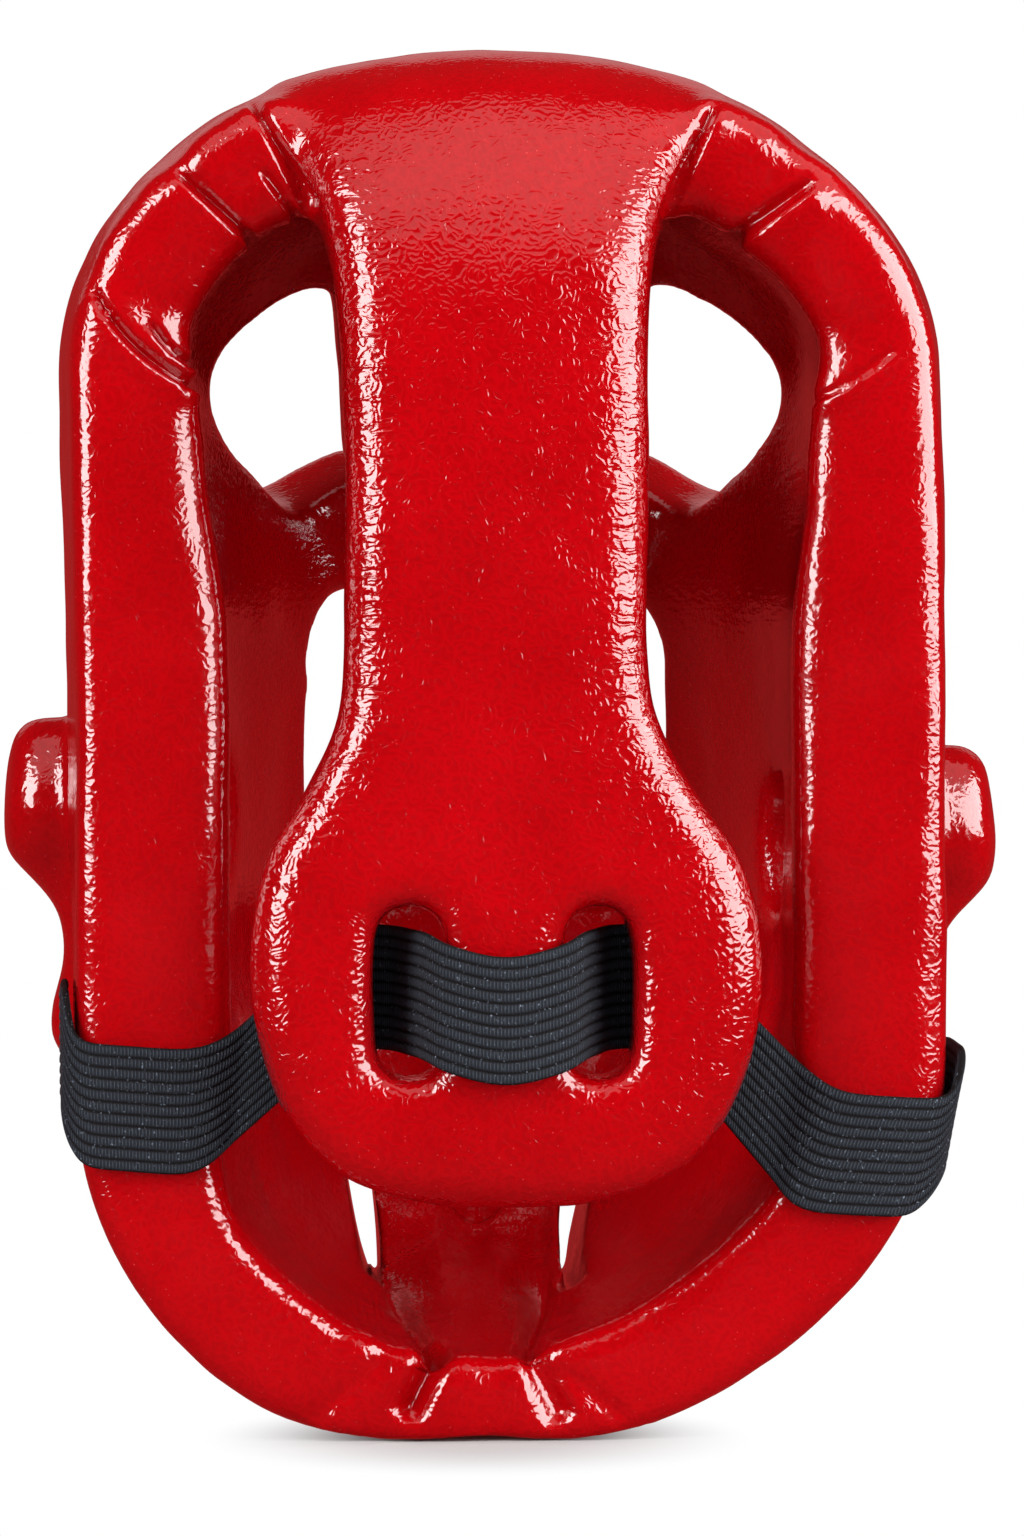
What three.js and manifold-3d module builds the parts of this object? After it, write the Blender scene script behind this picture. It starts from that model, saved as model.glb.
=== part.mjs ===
// A full face sparring helmet of dip-coated foam with an elastic rear strap.
// Millimetres. +Z is up, the face looks along +Y, and the helmet stands on its chin at z = 0.
// Depth is measured forward from the rim, the rear edge of the bowl.

import * as THREE from "three";
import Module from "manifold-3d";

const wasm = await Module();
wasm.setup();
const { Manifold, Mesh } = wasm;

// Driving dimensions
const RIM_HALF_WIDTH = 89;
const RIM_CENTRE = 141;
const CROWN_SPRING = 217;
const CROWN_RISE = 67;
const CROWN_SHIFT = -3.5;
const CROWN_TOP = CROWN_SPRING + CROWN_RISE;
const JAW_SPRING = 76;
const JAW_DROP = 80;
const CHIN_SHIFT = -7.5;
const RIM_ROUND = 7;
const BOWL_DEPTH = 150;
const SWELL_SPAN = 100;
const FRONT_FOAM = 22;
const GAP = 0.3;
const ELASTIC_GAP = 1.5;
const STRAP_GAP = 1.3;
const SLOT_WIDTH = 14;
const SLOT_HEIGHT = 35;
const SLOT_CORNER = 5;
const SLOT_SPACING = 38;
const ELASTIC_WIDTH = 25.4;
const ELASTIC_THICK = 1.8;
const RIM_TO_MIDDLE = 57.6;

// The bowl round its rim, by elevation from the side (0) to the crown (90) and the chin (-90).
// foam is the wall, round the fullness of the depth profile, swell how far the wall bellies out.
const AROUND = [
  { at: -90, foam: 21, round: 7, swell: 0 },
  { at: -55, foam: 26, round: 4.2, swell: 1 },
  { at: 0, foam: 29, round: 2.8, swell: 3.5 },
  { at: 48, foam: 23, round: 2.6, swell: 7 },
  { at: 90, foam: 24, round: 2.4, swell: 7 },
];

// Folds pressed across the rim where the foam is gathered, by the angle seen from behind.
const FOLDS = [
  { angle: 131, depth: 5, halfWidth: 4, reach: 40 },
  { angle: 119, depth: 4, halfWidth: 4, reach: 30 },
  { angle: 109, depth: 5, halfWidth: 4, reach: 40 },
  { angle: 74, depth: 5, halfWidth: 4, reach: 40 },
  { angle: 63, depth: 4, halfWidth: 4, reach: 30 },
  { angle: 47, depth: 2, halfWidth: 4, reach: 25 },
  { angle: 256, depth: 2, halfWidth: 4, reach: 20 },
  { angle: 261.5, depth: 5, halfWidth: 3.5, reach: 22 },
  { angle: 272.5, depth: 4, halfWidth: 3.5, reach: 22 },
  { angle: 277, depth: 2.5, halfWidth: 4, reach: 20 },
];

// Outlines on the outer skin, seen from the front: x from the middle, z from the floor.
const FACE_OUTLINE = [
  { x: 0, z: 182 },
  { x: 36, z: 181 },
  { x: 56, z: 168 },
  { x: 59, z: 144 },
  { x: 50, z: 117 },
  { x: 28, z: 105.5 },
  { x: 0, z: 110 },
];
const VENT_OUTLINE = [
  { x: 14, z: 216 },
  { x: 36, z: 212 },
  { x: 55, z: 202 },
  { x: 71, z: 202 },
  { x: 82, z: 215 },
  { x: 79, z: 233 },
  { x: 65, z: 249 },
  { x: 44, z: 260 },
  { x: 14, z: 263 },
];
const SLIT_OUTLINE = [
  { x: 19, z: 8 },
  { x: 22, z: 30 },
  { x: 25, z: 56 },
  { x: 29, z: 78 },
  { x: 37, z: 83 },
  { x: 43, z: 73 },
  { x: 40, z: 52 },
  { x: 32, z: 30 },
  { x: 23, z: 9 },
];

// The crown strap's middle line from the forehead back over the crown and down to the foot of its pad.
const CROWN_STRAP = [
  { depth: 121, height: 211, halfWidth: 33, shift: 0, thick: 22, edge: 2, sag: 6 },
  { depth: 109, height: 230, halfWidth: 33, shift: -1, thick: 22, edge: 2, sag: 7 },
  { depth: 92, height: 251.5, halfWidth: 34, shift: -2, thick: 22, edge: 2, sag: 8 },
  { depth: 69, height: 268, halfWidth: 37, shift: -3, thick: 22, edge: 2, sag: 8 },
  { depth: 46, height: 277.3, halfWidth: 42, shift: -3, thick: 22, edge: 2, sag: 7.5 },
  { depth: 23, height: 276, halfWidth: 46, shift: -3, thick: 22, edge: 2, sag: 7 },
  { depth: 5, height: 269, halfWidth: 44, shift: -3.5, thick: 22, edge: 4, sag: 6 },
  { depth: -7, height: 255, halfWidth: 36, shift: -4.5, thick: 22, edge: 6, sag: 4 },
  { depth: -14, height: 239, halfWidth: 32, shift: -4.5, thick: 22, edge: 8, sag: 2 },
  { depth: -17, height: 219, halfWidth: 30.5, shift: -4, thick: 22, edge: 8, sag: 1 },
  { depth: -18, height: 188, halfWidth: 30, shift: -4, thick: 22, edge: 8, sag: 1 },
  { depth: -18, height: 158, halfWidth: 30, shift: -4, thick: 22, edge: 8, sag: 1 },
  { depth: -18, height: 145, halfWidth: 32.5, shift: -3.5, thick: 22, edge: 8, sag: 1 },
  { depth: -18, height: 131, halfWidth: 39.5, shift: -3, thick: 22, edge: 8, sag: 1 },
  { depth: -18, height: 119, halfWidth: 47, shift: -2.5, thick: 22, edge: 8, sag: 1 },
  { depth: -18, height: 106, halfWidth: 50.6, shift: -2, thick: 22, edge: 8, sag: 1 },
  { depth: -18, height: 91, halfWidth: 51, shift: -2, thick: 22, edge: 8, sag: 1 },
  { depth: -18, height: 78, halfWidth: 48.6, shift: -1.5, thick: 22, edge: 8, sag: 1 },
  { depth: -18, height: 67, halfWidth: 44, shift: -1.5, thick: 22, edge: 8, sag: 1 },
  { depth: -18, height: 58, halfWidth: 37, shift: -1.5, thick: 21, edge: 8, sag: 1 },
  { depth: -18, height: 52, halfWidth: 27, shift: -1.5, thick: 17, edge: 8, sag: 1 },
  { depth: -18, height: 49, halfWidth: 14, shift: -1.5, thick: 8, edge: 8, sag: 1 },
];
const PAD_MIDDLE = { x: -2.5, height: 92 };

// One ear pad from its top to its foot: half length along the head and how proud of the wall it stands.
const EAR_PAD = [
  { height: 18, halfLength: 6, proud: 9 },
  { height: 16.5, halfLength: 9.5, proud: 12.5 },
  { height: 12, halfLength: 14, proud: 15 },
  { height: 0, halfLength: 18, proud: 16.5 },
  { height: -9, halfLength: 16, proud: 16 },
  { height: -13, halfLength: 13.5, proud: 14 },
  { height: -19, halfLength: 12, proud: 8 },
  { height: -25, halfLength: 11, proud: 4.5 },
  { height: -34, halfLength: 10.5, proud: 3.5 },
  { height: -44, halfLength: 11, proud: 6 },
  { height: -51, halfLength: 9.5, proud: 6 },
  { height: -57, halfLength: 5, proud: 2.5 },
];
const EARS = [
  { name: "ear_pad_left", side: -1, height: 130 },
  { name: "ear_pad_right", side: 1, height: 124 },
];
const EAR_DEPTH = 58;
const EAR_SINK = 14;
const POCKET_HALF_LENGTH = 12;
const POCKET_HALF_HEIGHT = 15;

// The elastic on each side: its middle height on the bar's outer side, rear face and inner edge.
const ELASTIC_SIDES = [
  { side: -1, outer: 82, rear: 69, inner: 77, slot: 92.5 },
  { side: 1, outer: 72, rear: 60, inner: 68, slot: 92.5 },
];
const ELASTIC_END_DEPTH = 34;
const ELASTIC_SAG = 6;
const ELASTIC_SAG_SPAN = 13;

const turn = Math.PI / 180;
const point = (x, y, z) => new THREE.Vector3(x, y, z);

// Value of one column of a table at a place along it, easing from row to row.
function eased(rows, at, key) {
  const last = rows.length - 1;
  const next = Math.max(1, rows.findIndex((row) => row.at > at));
  const j = at >= rows[last].at ? last : next;
  const share = (at - rows[j - 1].at) / (rows[j].at - rows[j - 1].at);
  const u = Math.min(1, Math.max(0, share));
  const ease = u * u * (3 - 2 * u);
  return rows[j - 1][key] + (rows[j][key] - rows[j - 1][key]) * ease;
}

// Value of one column of a table on a smooth curve through its rows, at a row number.
function curved(rows, at, key) {
  const last = rows.length - 1;
  const i = Math.min(Math.floor(at), last - 1);
  const u = at - i;
  const p = rows[Math.max(i - 1, 0)][key];
  const q = rows[i][key];
  const r = rows[i + 1][key];
  const s = rows[Math.min(i + 2, last)][key];
  const slopeIn = (r - p) / 2;
  const slopeOut = (s - q) / 2;
  const a = 2 * q - 2 * r + slopeIn + slopeOut;
  const b = -3 * q + 3 * r - 2 * slopeIn - slopeOut;
  return ((a * u + b) * u + slopeIn) * u + q;
}

// Closed solid through a row of equal rings. Each end is filled by strips across it, from its first place.
function loft(rings) {
  const count = rings[0].length;
  const places = rings.flat();
  const faces = [];
  for (let k = 0; k + 1 < rings.length; k++) {
    for (let i = 0; i < count; i++) {
      const a = k * count + i;
      const b = k * count + ((i + 1) % count);
      faces.push(a, b, b + count, a, b + count, a + count);
    }
  }
  const tail = (rings.length - 1) * count;
  for (let low = 0, high = count - 1; low + 1 < high; low++, high--) {
    faces.push(low, high, low + 1, tail + low, tail + low + 1, tail + high);
    if (low + 1 < high - 1) {
      faces.push(low + 1, high, high - 1, tail + low + 1, tail + high - 1, tail + high);
    }
  }
  const vertProperties = new Float32Array(places.flatMap((p) => [p.x, p.y, p.z]));
  const solid = new Manifold(new Mesh({ numProp: 3, vertProperties, triVerts: new Uint32Array(faces) }));
  return solid.volume() > 0 ? solid : loft(rings.map((ring) => [...ring].reverse()));
}

// Mesh node of a solid.
function node(name, solid, finish) {
  const mesh = solid.getMesh();
  const geometry = new THREE.BufferGeometry();
  geometry.setAttribute("position", new THREE.BufferAttribute(mesh.vertProperties.slice(), 3));
  geometry.setIndex(new THREE.BufferAttribute(mesh.triVerts.slice(), 1));
  geometry.computeVertexNormals();
  const made = new THREE.Mesh(geometry, new THREE.MeshStandardMaterial(finish));
  made.name = name;
  return made;
}

// The bowl

// How high an angle points, from -90 at the chin to 90 at the crown.
const elevation = (angle) => Math.atan2(Math.sin(angle), Math.abs(Math.cos(angle))) / turn;

// Distance from the rim's centre to its outer edge: straight sides between a crown arc and a jaw arc.
function rimRadius(angle) {
  const across = Math.abs(Math.cos(angle)) / RIM_HALF_WIDTH;
  const crown = Math.sin(angle) > 0;
  const straight = crown ? CROWN_SPRING - RIM_CENTRE : RIM_CENTRE - JAW_SPRING;
  const rise = crown ? CROWN_RISE : JAW_DROP;
  const up = Math.abs(Math.sin(angle)) / rise;
  if (Math.abs(Math.tan(angle)) * RIM_HALF_WIDTH <= straight) return 1 / across;
  const offset = straight / rise;
  const a = across * across + up * up;
  const b = up * offset;
  return (b + Math.sqrt(b * b - a * (offset * offset - 1))) / a;
}

// Outer skin: share runs from the rim (0) to the front of the face (1).
function outer(angle, share) {
  const rise = elevation(angle);
  const power = 2 / eased(AROUND, rise, "round");
  const closing = Math.max(Math.cos((share * Math.PI) / 2), 1e-6) ** power;
  const depth = BOWL_DEPTH * Math.sin((share * Math.PI) / 2) ** power;
  const belly = Math.sin(Math.PI * Math.min(depth / SWELL_SPAN, 1));
  const radius = rimRadius(angle) * closing + eased(AROUND, rise, "swell") * belly;
  const z = RIM_CENTRE + radius * Math.sin(angle);
  const chin = CHIN_SHIFT * Math.max(0, 1 - z / JAW_SPRING) ** 1.5;
  const crown = CROWN_SHIFT * Math.max(0, (2 * z) / CROWN_TOP - 1) ** 1.5;
  const lean = (chin + crown) * Math.max(0, 1 - depth / BOWL_DEPTH);
  return point(radius * Math.cos(angle) + lean, depth, z);
}

// Share of the way from the rim to the front at which the skin reaches a depth, at an elevation.
function shareAt(depth, rise) {
  const power = 2 / eased(AROUND, rise, "round");
  return Math.asin((depth / BOWL_DEPTH) ** (1 / power)) / (Math.PI / 2);
}

// Directions at a place of the outer skin: out of the wall, and along it towards the rim.
function skinFrame(angle, share) {
  const step = 1e-3;
  const inside = Math.min(Math.max(share, 4 * step), 1 - 4 * step);
  const back = outer(angle, inside - step).sub(outer(angle, inside + step)).normalize();
  const along = outer(angle + step, inside).sub(outer(angle - step, inside)).normalize();
  return { out: back.clone().cross(along).negate().normalize(), back };
}

// Depth of the folds at a place of the wall.
function dent(angle, depth) {
  return FOLDS.reduce((total, fold) => {
    const away = Math.atan2(Math.sin(angle - fold.angle * turn), Math.cos(angle - fold.angle * turn));
    const across = (away * rimRadius(angle)) / fold.halfWidth;
    const fade = Math.max(0, 1 - Math.max(depth, 0) / fold.reach);
    return total + fold.depth * fade * Math.exp(-across * across);
  }, 0);
}

// Foam of the wall, thinner towards the front.
function foam(angle, share) {
  const atRim = eased(AROUND, elevation(angle), "foam");
  return atRim + (FRONT_FOAM - atRim) * share * share;
}

// Skin of the wall: lap 0 to 1 is the outside from front to rim, 1 to 2 the rounded rim, 2 to 3 the inside.
function wall(angle, lap, lift) {
  const share = lap < 1 ? 1 - lap : Math.max(lap - 2, 0);
  const skin = outer(angle, share);
  const { out, back } = skinFrame(angle, share);
  const half = foam(angle, share) / 2;
  const middle = skin.clone().addScaledVector(out, -half);
  const swing = Math.min(Math.max(lap - 1, 0), 1) * Math.PI;
  const side = Math.sign(Math.cos(swing)) * Math.abs(Math.cos(swing)) ** 0.5;
  const end = Math.sin(swing) ** 0.5;
  const move = lift - dent(angle, skin.y) * (lap > 2 ? 0.5 : 1);
  middle.addScaledVector(out, side * (half + move));
  return middle.addScaledVector(back, end > 1e-6 ? end * (RIM_ROUND + move) : 0);
}

// Angles of the bowl's columns: evenly spread, and closer together across each fold.
function columnAngles() {
  const even = Array.from({ length: 48 }, (_, i) => i * 7.5);
  const across = [-1.1, -0.5, 0, 0.5, 1.1];
  const folded = FOLDS.flatMap((fold) => {
    const width = fold.halfWidth / rimRadius(fold.angle * turn) / turn;
    return across.map((share) => fold.angle + share * width);
  });
  const clear = even.filter((angle) => folded.every((other) => Math.abs(angle - other) > 1.2));
  const sorted = [...clear, ...folded].sort((a, b) => a - b);
  return sorted.filter((angle, i) => i === 0 || angle - sorted[i - 1] > 0.35).map((angle) => angle * turn);
}

// Laps of the bowl's rings: close together near the rim.
function ringLaps() {
  const shares = [0, 0.012, 0.035, 0.07, 0.115, 0.17, 0.235, 0.31, 0.4, 0.5, 0.61, 0.73, 0.86];
  const ends = [0.12, 0.25, 0.5, 0.75, 0.88];
  return [...shares.map((s) => 1 - s).reverse(), ...ends.map((e) => 1 + e), ...shares.map((s) => 2.0001 + s)];
}

const angles = columnAngles();
const bowl = loft(ringLaps().map((lap) => angles.map((angle) => wall(angle, lap, 0))));

// Solid of everything inside the outer skin, grown by a gap.
const filled = loft(ringLaps().filter((lap) => lap <= 1).map((lap) => {
  return angles.map((angle) => wall(angle, lap, GAP));
}));

// Place on the outer skin that is seen at x and z from the front, lifted off it.
function onSkin(x, z, lift) {
  const angle = Math.atan2(z - RIM_CENTRE, x);
  const radius = Math.hypot(x, z - RIM_CENTRE);
  let near = 0.2;
  let far = 1;
  for (let i = 0; i < 40; i++) {
    const share = (near + far) / 2;
    const skin = outer(angle, share);
    const reached = Math.hypot(skin.x, skin.z - RIM_CENTRE);
    near = reached > radius ? share : near;
    far = reached > radius ? far : share;
  }
  return outer(angle, near).addScaledVector(skinFrame(angle, near).out, lift);
}

// Cutter square to the wall through a smooth closed outline, on one side of the face or mirrored.
function throughWall(outline, side, steps) {
  const curve = new THREE.CatmullRomCurve3(outline.map(({ x, z }) => point(x * side, 0, z)), true, "centripetal");
  const spots = curve.getPoints(outline.length * steps).slice(0, -1);
  const lifts = [32, 6, -14, -42];
  return loft(lifts.map((lift) => spots.map((spot) => onSkin(spot.x, spot.z, lift))));
}

// The face opening is the same on both sides of the middle.
const mirrored = [...FACE_OUTLINE].slice(1, -1).reverse().map(({ x, z }) => ({ x: -x, z }));
const faceCut = throughWall([...FACE_OUTLINE, ...mirrored], 1, 4);
const ventCuts = [-1, 1].map((side) => throughWall(VENT_OUTLINE, side, 4));
const slitCuts = [-1, 1].map((side) => throughWall(SLIT_OUTLINE, side, 3));

// The crown strap

// One cross-section of a flat strip with rounded edges: shares across and through it.
function stripSection(halfWidth, halfThick, edge) {
  const round = Math.min(edge, 0.9 * halfThick, 0.9 * halfWidth);
  const corners = [[1, 1], [-1, 1], [-1, -1], [1, -1]];
  const middles = [0.5, 0, -0.5];
  return corners.flatMap(([right, top], k) => {
    const arc = [0, 45, 90].map((degrees) => {
      const swing = (degrees + 90 * k) * turn;
      const across = right * (halfWidth - round) + round * Math.cos(swing);
      return { across, through: top * (halfThick - round) + round * Math.sin(swing) };
    });
    const flat = middles.map((share) => ({ across: right * share * (halfWidth - round), through: top * halfThick }));
    return k % 2 === 0 ? [...arc, ...flat] : arc;
  });
}

// The strap, grown at its sides and ends, and deepened through its faces.
function crownStrap(grow, deepen) {
  const rings = [];
  const steps = 2 * (CROWN_STRAP.length - 1);
  for (let k = 0; k <= steps; k++) {
    const at = k / 2;
    const value = (key) => curved(CROWN_STRAP, at, key);
    const before = Math.max(at - 0.25, 0);
    const after = Math.min(at + 0.25, CROWN_STRAP.length - 1);
    const run = (key) => curved(CROWN_STRAP, after, key) - curved(CROWN_STRAP, before, key);
    const length = Math.hypot(run("depth"), run("height"));
    const out = point(0, run("height") / length, -run("depth") / length);
    const halfThick = value("thick") / 2 + deepen;
    const middle = point(value("shift"), value("depth"), value("height"));
    const past = k === 0 ? -grow / length : k === steps ? grow / length : 0;
    middle.add(point(0, run("depth") * past, run("height") * past));
    const section = stripSection(value("halfWidth") + grow, halfThick, value("edge"));
    rings.push(section.map(({ across, through }) => {
      const arch = value("sag") * (across / value("halfWidth")) ** 2;
      return middle.clone().add(point(across, 0, 0)).addScaledVector(out, through - arch);
    }));
  }
  return loft(rings);
}

// Upright slot through the pad with rounded corners.
function slotCut(side) {
  const spots = stripSection(SLOT_WIDTH / 2, SLOT_HEIGHT / 2, SLOT_CORNER);
  const x = PAD_MIDDLE.x + (side * SLOT_SPACING) / 2;
  return loft([-45, 5].map((y) => spots.map((p) => point(x + p.across, y, PAD_MIDDLE.height + p.through))));
}

const strap = [-1, 1].reduce((solid, side) => solid.subtract(slotCut(side)), crownStrap(0, 0));

// The ear pads

// One pad, its foot shaped to the wall it sits on.
function earPad({ side, height }) {
  const wallAt = outer(0, shareAt(EAR_DEPTH, 0)).x;
  const rings = EAR_PAD.map((row) => Array.from({ length: 20 }, (_, i) => {
    const swing = (i / 20) * 2 * Math.PI;
    const away = Math.sin(swing);
    const rise = Math.sign(away) * Math.abs(away) ** 0.5;
    const x = wallAt + (away > 0 ? row.proud : EAR_SINK) * rise;
    return point(side * x, EAR_DEPTH + row.halfLength * Math.cos(swing), height + row.height);
  }));
  return loft(rings).subtract(filled);
}

// Oval pocket through the side wall behind the pad.
function pocketCut({ side, height }) {
  const ring = (x) => Array.from({ length: 20 }, (_, i) => {
    const swing = (i / 20) * 2 * Math.PI;
    const y = EAR_DEPTH + POCKET_HALF_LENGTH * Math.cos(swing);
    return point(side * x, y, height - 4 + POCKET_HALF_HEIGHT * Math.sin(swing));
  });
  return loft([ring(45), ring(130)]);
}

// The elastic

// Angle at which a lap of the wall passes a height on one side.
function angleAt(height, lap, side) {
  let low = -80 * turn;
  let high = 60 * turn;
  for (let i = 0; i < 40; i++) {
    const middle = (low + high) / 2;
    const below = wall(middle, lap, 0).z < height;
    low = below ? middle : low;
    high = below ? high : middle;
  }
  return side > 0 ? low : Math.PI - low;
}

// One side of the elastic, from its end on the outer wall round the bar to the slot of the pad.
function elasticSide({ side, outer: outerHeight, rear, inner, slot }) {
  const lift = ELASTIC_GAP + ELASTIC_THICK / 2;
  const share = shareAt(ELASTIC_END_DEPTH, -38);
  const laps = [0, 0.25, 0.5, 0.75].map((u) => 1 - share * (1 - u)).concat([1, 1.06, 1.14, 1.25, 1.4, 1.6, 1.75, 1.86]);
  const hugging = laps.map((lap) => {
    const heights = [{ at: 1 - share, z: outerHeight }, { at: 1.3, z: rear }, { at: 1.5, z: rear }, { at: 1.9, z: inner }];
    const height = eased(heights, lap, "z");
    const angle = angleAt(height, lap, side);
    const centre = wall(angle, lap, lift);
    const across = wall(angle + 0.02 * side, lap, lift).sub(wall(angle - 0.02 * side, lap, lift)).normalize();
    return { centre, across };
  });
  const x = PAD_MIDDLE.x + (side * SLOT_SPACING) / 2;
  const up = point(0, 0, 1);
  const route = [
    { x: x + side * 14, y: -4.2 },
    { x: x + side * 6.4, y: -5 },
    { x: x + side * 2.6, y: -8 },
    { x: x + side * 0.5, y: -15 },
    { x: x - side * 2.2, y: -22.5 },
    { x: x - side * 4, y: -28.2 },
    { x: x - side * 6.2, y: -30.7 },
  ];
  const passed = route.map(({ x, y }) => ({ centre: point(x, y, slot + 0.05 * Math.min(y + 5, 0)), across: up.clone() }));
  return [...hugging, ...passed];
}

function elasticStrap() {
  const left = elasticSide(ELASTIC_SIDES[0]);
  const right = elasticSide(ELASTIC_SIDES[1]).reverse();
  const bow = [-1, -0.6, -0.2, 0.2, 0.6, 1].map((share) => {
    const x = PAD_MIDDLE.x + share * 10;
    return { centre: point(x, -31.2 - 2 * (1 - share * share), ELASTIC_SIDES[0].slot - 1.3), across: point(0, 0, 1) };
  });
  const stops = [...left, ...bow, ...right];
  stops.filter(({ centre }) => centre.y < -27).forEach(({ centre }) => {
    const share = Math.min(1, (-27 - centre.y) / 4);
    const middle = Math.exp(-(((centre.x - PAD_MIDDLE.x) / ELASTIC_SAG_SPAN) ** 2));
    centre.z -= ELASTIC_SAG * share * share * (3 - 2 * share) * middle;
  });
  return loft(stops.map(({ centre, across }, i) => {
    const before = stops[Math.max(i - 1, 0)].centre;
    const after = stops[Math.min(i + 1, stops.length - 1)].centre;
    const off = after.clone().sub(before).cross(across).normalize();
    const corners = [[-1, -1], [1, -1], [1, 1], [-1, 1]];
    return corners.map(([up, out]) => {
      const place = centre.clone().addScaledVector(across, (up * ELASTIC_WIDTH) / 2);
      return place.addScaledVector(off, (out * ELASTIC_THICK) / 2);
    });
  }));
}

// Everything below the floor is pressed flat.
function belowFloor() {
  const square = (z) => [[-200, -200], [200, -200], [200, 300], [-200, 300]].map(([x, y]) => point(x, y, z));
  return loft([square(-50), square(0)]);
}

const cuts = [faceCut, ...ventCuts, ...slitCuts, ...EARS.map(pocketCut), crownStrap(STRAP_GAP, 8), belowFloor()];
const shell = cuts.reduce((solid, cut) => solid.subtract(cut), bowl);

const RED = { color: "#c4000d", roughness: 0.25, metalness: 0 };
const GREY = { color: "#2b3138", roughness: 0.8, metalness: 0 };

const helmet = new THREE.Group();
helmet.name = "full_face_sparring_helmet";
helmet.add(node("face_shell", shell, RED));
helmet.add(node("crown_strap", strap, RED));
EARS.forEach((ear) => helmet.add(node(ear.name, earPad(ear), RED)));
helmet.add(node("elastic_strap", elasticStrap(), GREY));
helmet.position.y = -RIM_TO_MIDDLE;

export default helmet;
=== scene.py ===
# %% [markdown]
# # A full face sparring helmet of dip-coated foam
# The real helmet is soft foam, glued up to a bowl for the head and face and then dipped in liquid
# vinyl, which dries to one glossy red skin. A grey elastic holds the tongue at the back to the bars.
# Everything here is worked out in millimetres and put into the mesh in metres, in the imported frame.

import bmesh
import bpy
import numpy as np
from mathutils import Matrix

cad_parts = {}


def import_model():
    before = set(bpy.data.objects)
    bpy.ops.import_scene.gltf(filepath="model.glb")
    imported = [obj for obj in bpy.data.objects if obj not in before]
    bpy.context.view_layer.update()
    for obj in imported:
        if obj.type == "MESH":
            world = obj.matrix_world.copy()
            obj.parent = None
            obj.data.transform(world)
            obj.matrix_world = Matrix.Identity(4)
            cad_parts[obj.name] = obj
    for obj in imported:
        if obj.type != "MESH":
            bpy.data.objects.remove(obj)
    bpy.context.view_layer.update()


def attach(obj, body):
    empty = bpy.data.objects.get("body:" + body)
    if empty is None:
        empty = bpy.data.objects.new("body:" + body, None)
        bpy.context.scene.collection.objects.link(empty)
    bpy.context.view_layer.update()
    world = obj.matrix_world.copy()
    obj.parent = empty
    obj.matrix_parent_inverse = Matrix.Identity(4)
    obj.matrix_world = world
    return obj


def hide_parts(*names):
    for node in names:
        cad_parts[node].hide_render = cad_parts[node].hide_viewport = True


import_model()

# %% [markdown]
# ## Measures
# Most driving dimensions are the solids' own. Only the foam is a little thicker at the sides here, the
# crown's outer edge rounder, and the inside of the jaw narrower towards the chin. Depth runs forward
# from the rim, the rear edge of the bowl, and the frame's middle lies a little way in front of it. A
# table holds one row per place, with named columns, so a shape can be changed by changing one row.

# %% Driving dimensions in millimetres
MM = 0.001
RIM_HALF_WIDTH = 89
RIM_CENTRE = 141
CROWN_SPRING = 217
CROWN_RISE = 67
CROWN_SHIFT = -3.5
JAW_SPRING = 76
JAW_DROP = 80
CHIN_SHIFT = -7.5
RIM_ROUND = 7
CROWN_EDGE, CROWN_EDGE_FROM, CROWN_EDGE_OVER = 0.25, 25, 30
BOWL_DEPTH = 150
SWELL_SPAN = 100
FRONT_FOAM = 22
JAW_FILL, JAW_FILL_TOP, JAW_FILL_FADE = 0.5, 92, 26
CHIN_MIDDLE = -7
RIM_TO_MIDDLE = 57.6
CROWN_TOP = CROWN_SPRING + CROWN_RISE
TURN = np.pi / 180


def table(names, *rows):
    """Rows of numbers as named columns."""
    return dict(zip(names.split(), np.array(rows, float).T))


AROUND = table(
    "at foam round swell",
    (-90, 21, 7.0, 0),
    (-58, 25, 4.3, 1),
    (-32, 31, 3.5, 2.2),
    (14, 31, 2.8, 4.2),
    (33, 27, 2.7, 6.0),
    (48, 23, 2.6, 7),
    (90, 24, 2.4, 7),
)


def eased(rows, column, at):
    """Value of a column at a place: between two rows it eases as 3u^2 - 2u^3."""
    places, values = rows["at"], rows[column]
    j = np.clip(np.searchsorted(places, at, side="right"), 1, len(places) - 1)
    u = np.clip((at - places[j - 1]) / (places[j] - places[j - 1]), 0, 1)
    return values[j - 1] + (values[j] - values[j - 1]) * u * u * (3 - 2 * u)


def catmull_rom(p, q, r, s, u):
    """Cubic from q to r whose slope at q is half of r - p, and at r half of s - q."""
    slope_in, slope_out = (r - p) / 2, (s - q) / 2
    a = 2 * q - 2 * r + slope_in + slope_out
    b = -3 * q + 3 * r - 2 * slope_in - slope_out
    return ((a * u + b) * u + slope_in) * u + q


def curved(rows, column, at):
    """Value of a column at a row number, on a Catmull-Rom curve through the rows."""
    values = rows[column]
    last = len(values) - 1
    i = np.minimum(np.floor(at).astype(int), last - 1)
    p, q = values[np.maximum(i - 1, 0)], values[i]
    r, s = values[i + 1], values[np.minimum(i + 2, last)]
    return catmull_rom(p, q, r, s, at - i)


print("tables ready,", len(AROUND["at"]), "places round the rim")

# %% [markdown]
# ## The bowl
# The shell is one wall of foam. Its outer skin is a function of the angle round the rim and of the
# share of the way from the rim to the front of the face. A wall of that skin is then a walk from the
# front back along the outside, round the rim's rounded end, and forward again along the inside.
# Sculpting a ball would work too, but a formula keeps the wall in step with the solids.

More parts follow.
